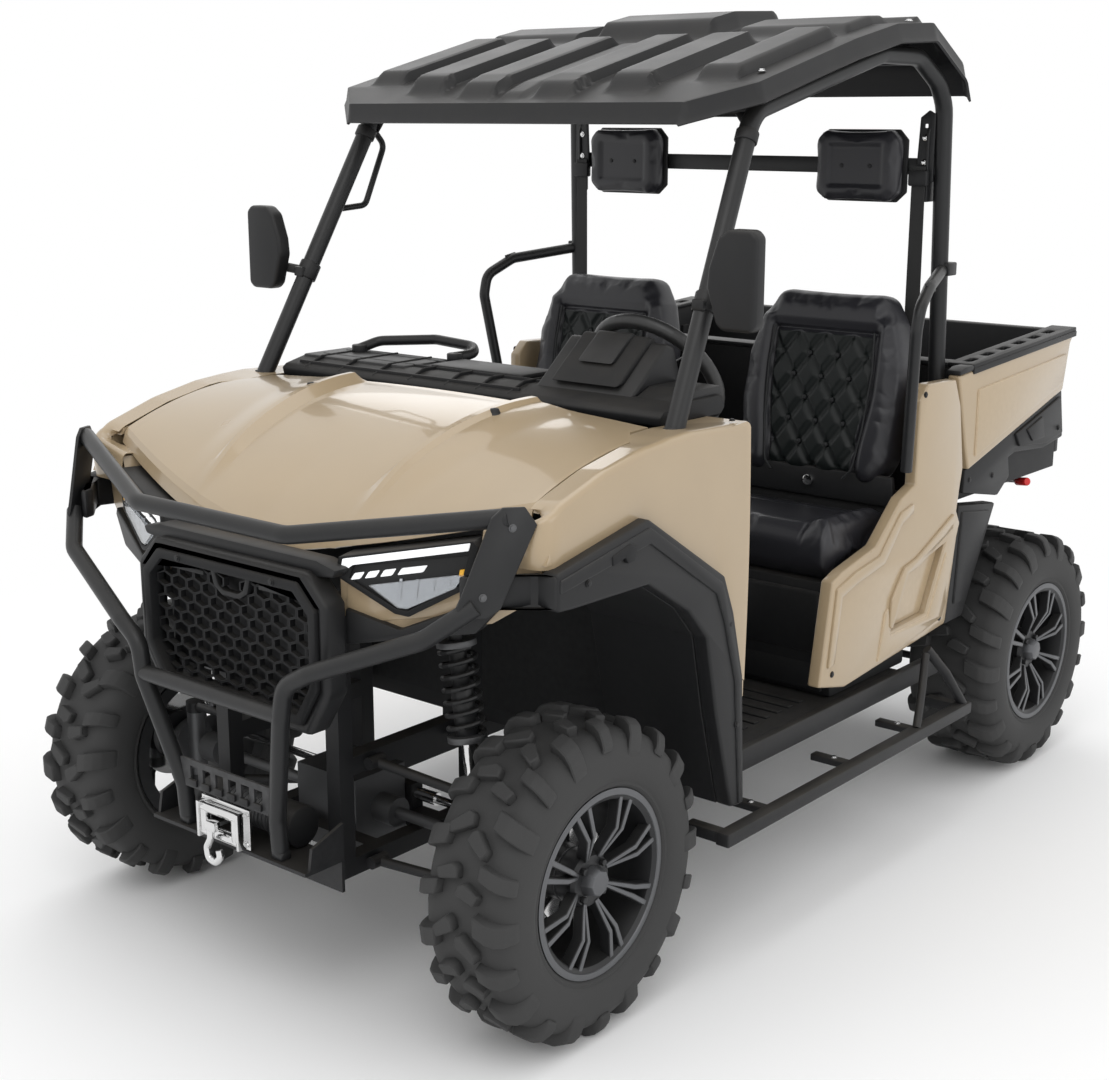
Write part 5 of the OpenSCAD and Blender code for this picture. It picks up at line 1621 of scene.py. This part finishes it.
@dataclass
class RearBody:
    """Rear quarter panels, side steps, bed, tailgate and the lever."""

    bed_half: float = 648.0
    bed_front: float = 606.0
    bed_length: float = 640.0
    rail_height: float = 1215.0
    rail_rise: float = 40.0

    def build(self) -> None:
        """Builds the pieces behind the doors."""
        self._quarters()
        self._steps()
        self._bed()
        self._gate()

    def _quarters(self) -> None:
        """Builds the angular quarter panels, their recess and ridge, and the black trims."""
        panel = Piece("rear_quarter_panels")
        outline = [(-128, 519), (-81, 775), (-34, 792), (126, 825), (245, 927), (313, 950), (316, 1168),
                   (357, 1205), (505, 1200), (540, 1127), (572, 956), (562, 912), (549, 842), (572, 806),
                   (558, 769), (518, 545), (512, 535), (-6, 490)]
        recess = [(287, 715), (493, 763), (403, 590), (219, 582)]
        panel.plate(SAND, Axis.X, 655, 690, outline, 9, 3, mirrored=True, hole=[recess])
        panel.plate(SAND, Axis.X, 658, 670, recess, 1, 1, mirrored=True)
        panel.plate(SAND, Axis.X, 686, 697, [(-96, 560), (-66, 756), (20, 782), (140, 800), (236, 892),
                                             (300, 906), (300, 880), (244, 862), (160, 772), (30, 750),
                                             (-40, 730), (-66, 566)], 5, 2, mirrored=True)
        panel.plate(SAND, Axis.X, 686, 698, [(204, 669), (265, 743), (330, 756), (527, 839), (520, 800),
                                             (340, 730), (285, 722), (216, 590), (200, 600)], 5, 2,
                    mirrored=True)
        panel.plate(SAND, Axis.X, 686, 694, [(150, 516), (180, 640), (196, 650), (210, 574), (410, 580),
                                             (500, 740), (508, 600), (490, 560), (300, 530)], 4, 2,
                    mirrored=True)
        panel.screws(FRAME_BLACK, [(690, -70, 540), (690, 480, 560), (690, 340, 1180)], (1, 0, 0), 6, 2,
                     mirrored=True)
        panel.finish(["rear_quarters"])
        trim = Piece("rear_side_trim_panels")
        trim.plate(BLACK, Axis.X, 628, 672,
                   [(596, 846), (819, 816), (787, 761), (653, 523), (550, 521), (591, 817)], 7, 2,
                   mirrored=True)
        trim.plate(BLACK, Axis.X, 668, 678, [(612, 826), (780, 802), (650, 570), (590, 570)], 5, 2,
                   mirrored=True)
        trim.finish(["rear_side_trims"])

    def _steps(self) -> None:
        """Builds the box-section side steps with their triangular braces."""
        step = Piece("side_step_bars")
        step.block(FRAME_BLACK, (742, -635, 298), (778, 526, 330), 4, 2, mirrored=True)
        step.block(FRAME_BLACK, (655, -630, 300), (745, -598, 328), 4, 2, mirrored=True)
        step.block(FRAME_BLACK, (655, 488, 300), (745, 520, 328), 4, 2, mirrored=True)
        step.pipe(FRAME_BLACK, [(760, 505, 326), (733, 452, 420), (698, 404, 492)], 13, 20, 16, mirrored=True)
        step.pipe(FRAME_BLACK, [(760, 250, 326), (728, 330, 402), (700, 396, 480)], 11, 20, 16, mirrored=True)
        for y in (-430, -60, 260):
            step.block(FRAME_BLACK, (640, y - 14, 306), (748, y + 14, 324), 3, 2, mirrored=True)
        step.screws(STEEL, [(700, y, 324) for y in (-430, -60, 260)], (0, 0, 1), 6, 3, mirrored=True)
        step.block(FRAME_BLACK, (652, -560, 392), (676, 520, 446), 4, 2, mirrored=True)
        step.finish(["side_steps"], 45)

    def _bed(self) -> None:
        """Builds the bed liner, its rail with slots, and the outer panels."""
        bed = Piece("cargo_bed_liner", "cargo_bed")
        w = self.bed_half
        bed.block(BLACK_GRAIN, (-w + 3, 608, 852), (w - 3, 1250, 880), 3)
        bed.block(BLACK_GRAIN, (-w + 3, 607, 853), (w - 3, 640, 1214), 4)
        bed.plate(BLACK_GRAIN, Axis.X, 614, w, [(606, 850), (1246, 850), (1246, 1255), (606, 1215)], 4, 2,
                  mirrored=True)
        for k in range(13):
            bed.block(BLACK_GRAIN, (-598 + k * 92, 650, 878), (-566 + k * 92, 1236, 886), 3)
        for k in range(7):
            bed.block(BLACK_GRAIN, (604, 672 + k * 84, 900), (616, 706 + k * 84, 1190), 4, 2, mirrored=True)
            bed.block(BLACK_GRAIN, (-560 + k * 172, 638, 900), (-512 + k * 172, 648, 1190), 3)
        for y in (800, 1100):
            bed.rod(FRAME_BLACK, (-560, y, 836), (560, y, 836), 16, 20)
        bed.finish(["cargo_bed"])
        rail = Piece("cargo_bed_rail", "cargo_bed")
        slots = [[(636, y), (640, y - 4), (658, y - 4), (662, y),
                  (662, y + 44), (658, y + 48), (640, y + 48), (636, y + 44)] for y in range(640, 1121, 96)]
        slope = Matrix.Identity(4)
        slope[2][1] = self.rail_rise / self.bed_length
        start = self.rail_height - self.bed_front * self.rail_rise / self.bed_length
        lay = Matrix.Translation((0, 0, start)) @ slope
        rail.plate(BLACK, Axis.Z, 1, 13, [(610, 606), (688, 606), (688, 1250), (610, 1250)], 3, 2, lay,
                   True, hole=slots)
        rail.plate(BLACK, Axis.Z, -14, 3, [(676, 606), (690, 606), (690, 1250), (676, 1250)], 3, 2, lay, True)
        rail.plate(BLACK, Axis.Z, 0, 12, [(-612, 604), (612, 604), (612, 650), (-612, 650)], 3, 2, lay)
        rail.plate(BLACK, Axis.X, 648, 688,
                   [(531, 1206), (606, 1212), (606, 1226), (560, 1226), (531, 1218)], 3, 2, mirrored=True)
        rail.finish()
        side = Piece("cargo_bed_side_skins", "cargo_bed")
        side.plate(SAND, Axis.X, 649, 686,
                   [(531, 1205), (1243, 1252), (1220, 1222), (1189, 1089), (612, 942), (587, 1012)], 7, 3,
                   mirrored=True)
        side.plate(SAND, Axis.X, 682, 692, [(640, 1158), (1196, 1196), (1178, 1112), (640, 974)], 6, 2,
                   mirrored=True)
        side.plate(BLACK, Axis.X, 647, 676, [(612, 941), (1206, 1089), (1234, 945), (1103, 929), (917, 944),
                                             (877, 936), (890, 880), (822, 836), (608, 878)], 6, 2,
                   mirrored=True)
        side.plate(BLACK, Axis.X, 672, 684,
                   [(900, 1000), (1190, 1072), (1216, 960), (1100, 944), (930, 960)], 5, 2, mirrored=True)
        side.plate(BLACK, Axis.X, 680, 690, [(960, 1004), (1060, 1030), (1080, 966), (1000, 966)], 4, 2,
                   mirrored=True)
        side.screws(FRAME_BLACK, [(676, 640, 910), (676, 780, 900), (684, 1180, 980)], (1, 0, 0), 6, 2,
                    mirrored=True)
        side.finish(["bed_side_panels"])
        lever = Piece("bed_release_lever", "cargo_bed")
        lever.rod(STEEL, (566, 1112, 816), (642, 1074, 830), 5.5, 16)
        lever.rod(RED, (606, 1092, 823.4), (650, 1070, 831.4), 12, 24, 4)
        lever.rod(FRAME_BLACK, (566, 1112, 816), (566, 1112, 852), 8, 16)
        lever.finish(["bed_lever"])

    def _gate(self) -> None:
        """Builds the tailgate with pressed ribs, latches and hinges, and the tail lamps."""
        gate = Piece("tailgate_panel", "tailgate")
        gate.block(BLACK, (-644, 1252, 890), (644, 1278, 1255), 5, 3)
        for z0, z1 in ((920, 1030), (1060, 1170)):
            for x in (-600, -190, 220):
                gate.block(BLACK_GRAIN, (x, 1272, z0), (x + 380, 1284, z1), 6, 2)
        gate.block(BLACK, (-644, 1268, 1222), (644, 1288, 1255), 5, 2)
        for x in (-560, 500):
            gate.block(FRAME_BLACK, (x, 1278, 1180), (x + 60, 1290, 1214), 3)
        gate.block(FRAME_BLACK, (-80, 1276, 1186), (80, 1292, 1216), 5)
        for x in (-520, 460):
            gate.rod(FRAME_BLACK, (x, 1262, 865), (x + 60, 1262, 865), 9, 20, 1)
            gate.block(FRAME_BLACK, (x, 1256, 866), (x + 60, 1268, 900), 2)
        gate.finish(["tailgate"])
        tail = Piece("tail_lamps", "cargo_bed")
        tail.block(BLACK, (590, 1238, 944), (640, 1250, 1060), 4, mirrored=True)
        tail.block(TAIL_RED, (622, 1228, 1096), (644, 1250, 1180), 3, mirrored=True)
        tail.finish()


@dataclass
class Running:
    """Springs, dampers, floor treads and the finishes of the nodes that keep their CAD shape."""

    finishes: tuple[tuple[str, Finish], ...] = (("chassis_frame", FRAME_BLACK), ("floor_pan", BLACK_GRAIN),
                                                ("skid_plate", FRAME_BLACK), ("front_fenders", SAND),
                                                ("engine_block", GREY_METAL), ("muffler", GREY_METAL),
                                                ("drive_axles", GREY_METAL),
                                                ("suspension_arms", FRAME_BLACK),
                                                ("hitch_receiver", FRAME_BLACK), ("steering_rack", STEEL),
                                                ("knuckle_left", GREY_METAL), ("knuckle_right", GREY_METAL))

    def build(self) -> None:
        """Builds the springs and floor ribs, and dresses the CAD nodes that stay."""
        self._springs()
        self._floor()
        for name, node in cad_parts.items():
            if node.hide_render:
                continue
            finish = dict(self.finishes).get(name, BLACK)
            node.data.materials.clear()
            node.data.materials.append(finish.material())
            LOG.info("%s keeps its CAD shape in %s", name, finish.name)

    def _springs(self) -> None:
        """Builds the four dampers, each with its coil, seats and eyes."""
        coil = Piece("suspension_springs")
        for foot, head in self._dampers():
            way = (head - foot).normalized()
            turn = Vector((0, 0, 1)).rotation_difference(way).to_matrix().to_4x4()
            length, turns = (head - foot).length, 7
            path = []
            for k in range(turns * 14 + 1):
                angle = math.tau * k / 14
                up = length * (0.31 + 0.54 * k / (turns * 14))
                path.append(tuple(foot + (turn @ Vector((37 * math.cos(angle), 37 * math.sin(angle), up)))))
            coil.pipe(TUBE_BLACK, path, 6, 1, 8)
            for start, end, radius, finish in ((0.05, 0.3, 15, STEEL), (0.27, 0.31, 43, GREY_METAL),
                                               (0.3, 0.6, 24, TUBE_BLACK), (0.6, 0.88, 19, BLACK),
                                               (0.85, 0.89, 43, GREY_METAL), (0.88, 0.96, 17, TUBE_BLACK)):
                coil.rod(finish, tuple(foot + way * length * start), tuple(foot + way * length * end),
                         radius, 28, 2)
            for eye in (foot, head):
                coil.rod(GREY_METAL, (eye.x, eye.y - 14, eye.z), (eye.x, eye.y + 14, eye.z), 17, 24, 2)
                coil.rod(STEEL, (eye.x, eye.y - 22, eye.z), (eye.x, eye.y + 22, eye.z), 8, 6, 1)
        coil.finish(["shock_absorbers"])

    @staticmethod
    def _dampers() -> list[tuple[Vector, Vector]]:
        """Feet and heads of the four dampers.

        Returns:
            Pairs of points in millimetres.
        """
        ends = []
        for side in (-1, 1):
            ends.append((Vector((side * 425, -1078, 497)), Vector((side * 368, -1070, 842.7))))
            ends.append((Vector((side * 388, 1060, 474)), Vector((side * 345, 1063, 702.7))))
        return ends

    def _floor(self) -> None:
        """Builds the raised treads of the footwells."""
        tread = Piece("floor_treads")
        for k in range(9):
            y = -470 + k * 50
            tread.block(BLACK_GRAIN, (80, y, 444), (600, y + 22, 450), 2.5, 2, mirrored=True)
        tread.block(BLACK_GRAIN, (-60, -480, 440), (60, 20, 520), 14, 3)
        tread.finish()


# ------------------------------------------------------------------ studio


@dataclass
class Studio:
    """Pale floor, soft lights and the camera."""

    eye: Point = (2.743, -3.586, 1.870)
    look: Point = (-0.6223, 0.7452, -0.2397)
    lens: float = 55.98
    fade_start: float = 1.3
    fade_end: float = 3.4
    lamps: tuple[tuple[str, Point, float, float], ...] = (
        ("key", (1.6, -3.6, 5.2), 3.4, 46.0), ("fill", (5.0, -1.0, 2.8), 3.0, 22.0),
        ("top", (0.0, 0.3, 5.6), 4.0, 34.0), ("rear", (-3.6, 3.4, 4.0), 3.0, 26.0))

    def build(self) -> None:
        """Builds the studio."""
        self._floor()
        self._lights()
        camera = bpy.data.cameras.new("camera")
        camera.lens, camera.sensor_width, camera.clip_end = self.lens, 36.0, 100.0
        holder = bpy.data.objects.new("camera", camera)
        holder.location = self.eye
        holder.rotation_euler = Vector(self.look).to_track_quat("-Z", "Y").to_euler()
        bpy.context.scene.collection.objects.link(holder)
        bpy.context.scene.camera = holder
        bpy.context.scene.view_settings.view_transform = "Standard"

    def _floor(self) -> None:
        """Lays a pale floor that fades into the background away from the vehicle."""
        shape = bmesh.new()
        bmesh.ops.create_circle(shape, cap_ends=True, segments=96, radius=60.0)
        data = bpy.data.meshes.new("studio_floor")
        shape.to_mesh(data)
        shape.free()
        floor = bpy.data.objects.new("studio_floor", data)
        bpy.context.scene.collection.objects.link(floor)
        mat = bpy.data.materials.new("floor_pale")
        mat.use_nodes = True
        tree = mat.node_tree
        shader = tree.nodes["Principled BSDF"]
        shader.inputs["Base Color"].default_value = (0.93, 0.93, 0.93, 1)
        shader.inputs["Roughness"].default_value = 0.85
        shader.inputs["Specular IOR Level"].default_value = 0.1
        glow = tree.nodes.new("ShaderNodeEmission")
        glow.inputs["Strength"].default_value = 1.0
        place = tree.nodes.new("ShaderNodeTexCoord")
        reach = tree.nodes.new("ShaderNodeVectorMath")
        reach.operation = "LENGTH"
        tree.links.new(place.outputs["Object"], reach.inputs[0])
        fade = tree.nodes.new("ShaderNodeMapRange")
        fade.interpolation_type = "SMOOTHSTEP"
        fade.inputs["From Min"].default_value = self.fade_start
        fade.inputs["From Max"].default_value = self.fade_end
        tree.links.new(reach.outputs["Value"], fade.inputs["Value"])
        blend = tree.nodes.new("ShaderNodeMixShader")
        tree.links.new(fade.outputs["Result"], blend.inputs[0])
        tree.links.new(shader.outputs[0], blend.inputs[1])
        tree.links.new(glow.outputs[0], blend.inputs[2])
        tree.links.new(blend.outputs[0], tree.nodes["Material Output"].inputs["Surface"])
        data.materials.append(mat)

    def _lights(self) -> None:
        """Sets a white surround and the soft lamps."""
        world = bpy.data.worlds.new("studio")
        world.use_nodes = True
        world.node_tree.nodes["Background"].inputs["Color"].default_value = (1, 1, 1, 1)
        world.node_tree.nodes["Background"].inputs["Strength"].default_value = 1.0
        bpy.context.scene.world = world
        for name, spot, size, power in self.lamps:
            lamp = bpy.data.lights.new(name, "AREA")
            lamp.shape, lamp.size, lamp.energy = "DISK", size, power
            holder = bpy.data.objects.new(name, lamp)
            holder.location = spot
            holder.rotation_euler = (Vector((0, 0, 0.8)) - Vector(spot)).to_track_quat("-Z", "Y").to_euler()
            bpy.context.scene.collection.objects.link(holder)


def main() -> None:
    """Builds every sub-assembly in order."""
    logging.basicConfig(level=logging.INFO, format="%(message)s")
    for group in (grain_group(), dust_group(), wear_and_highlight_group()):
        GROUPS[group.name] = group
    wheels = [Wheel(f"{end}_{name}", side, axle, width) for end, axle, width in (("front", FRONT_AXLE,
                      228.0), ("rear", REAR_AXLE, 280.0)) for name, side in (("left", 1), ("right", -1))]
    for part in (*wheels, FrontBody(), Guard(), Cab(), Seats(), RearBody(), Running(), Studio()):
        part.build()
        LOG.info("%s is built", type(part).__name__)


if __name__ == "__main__":
    main()
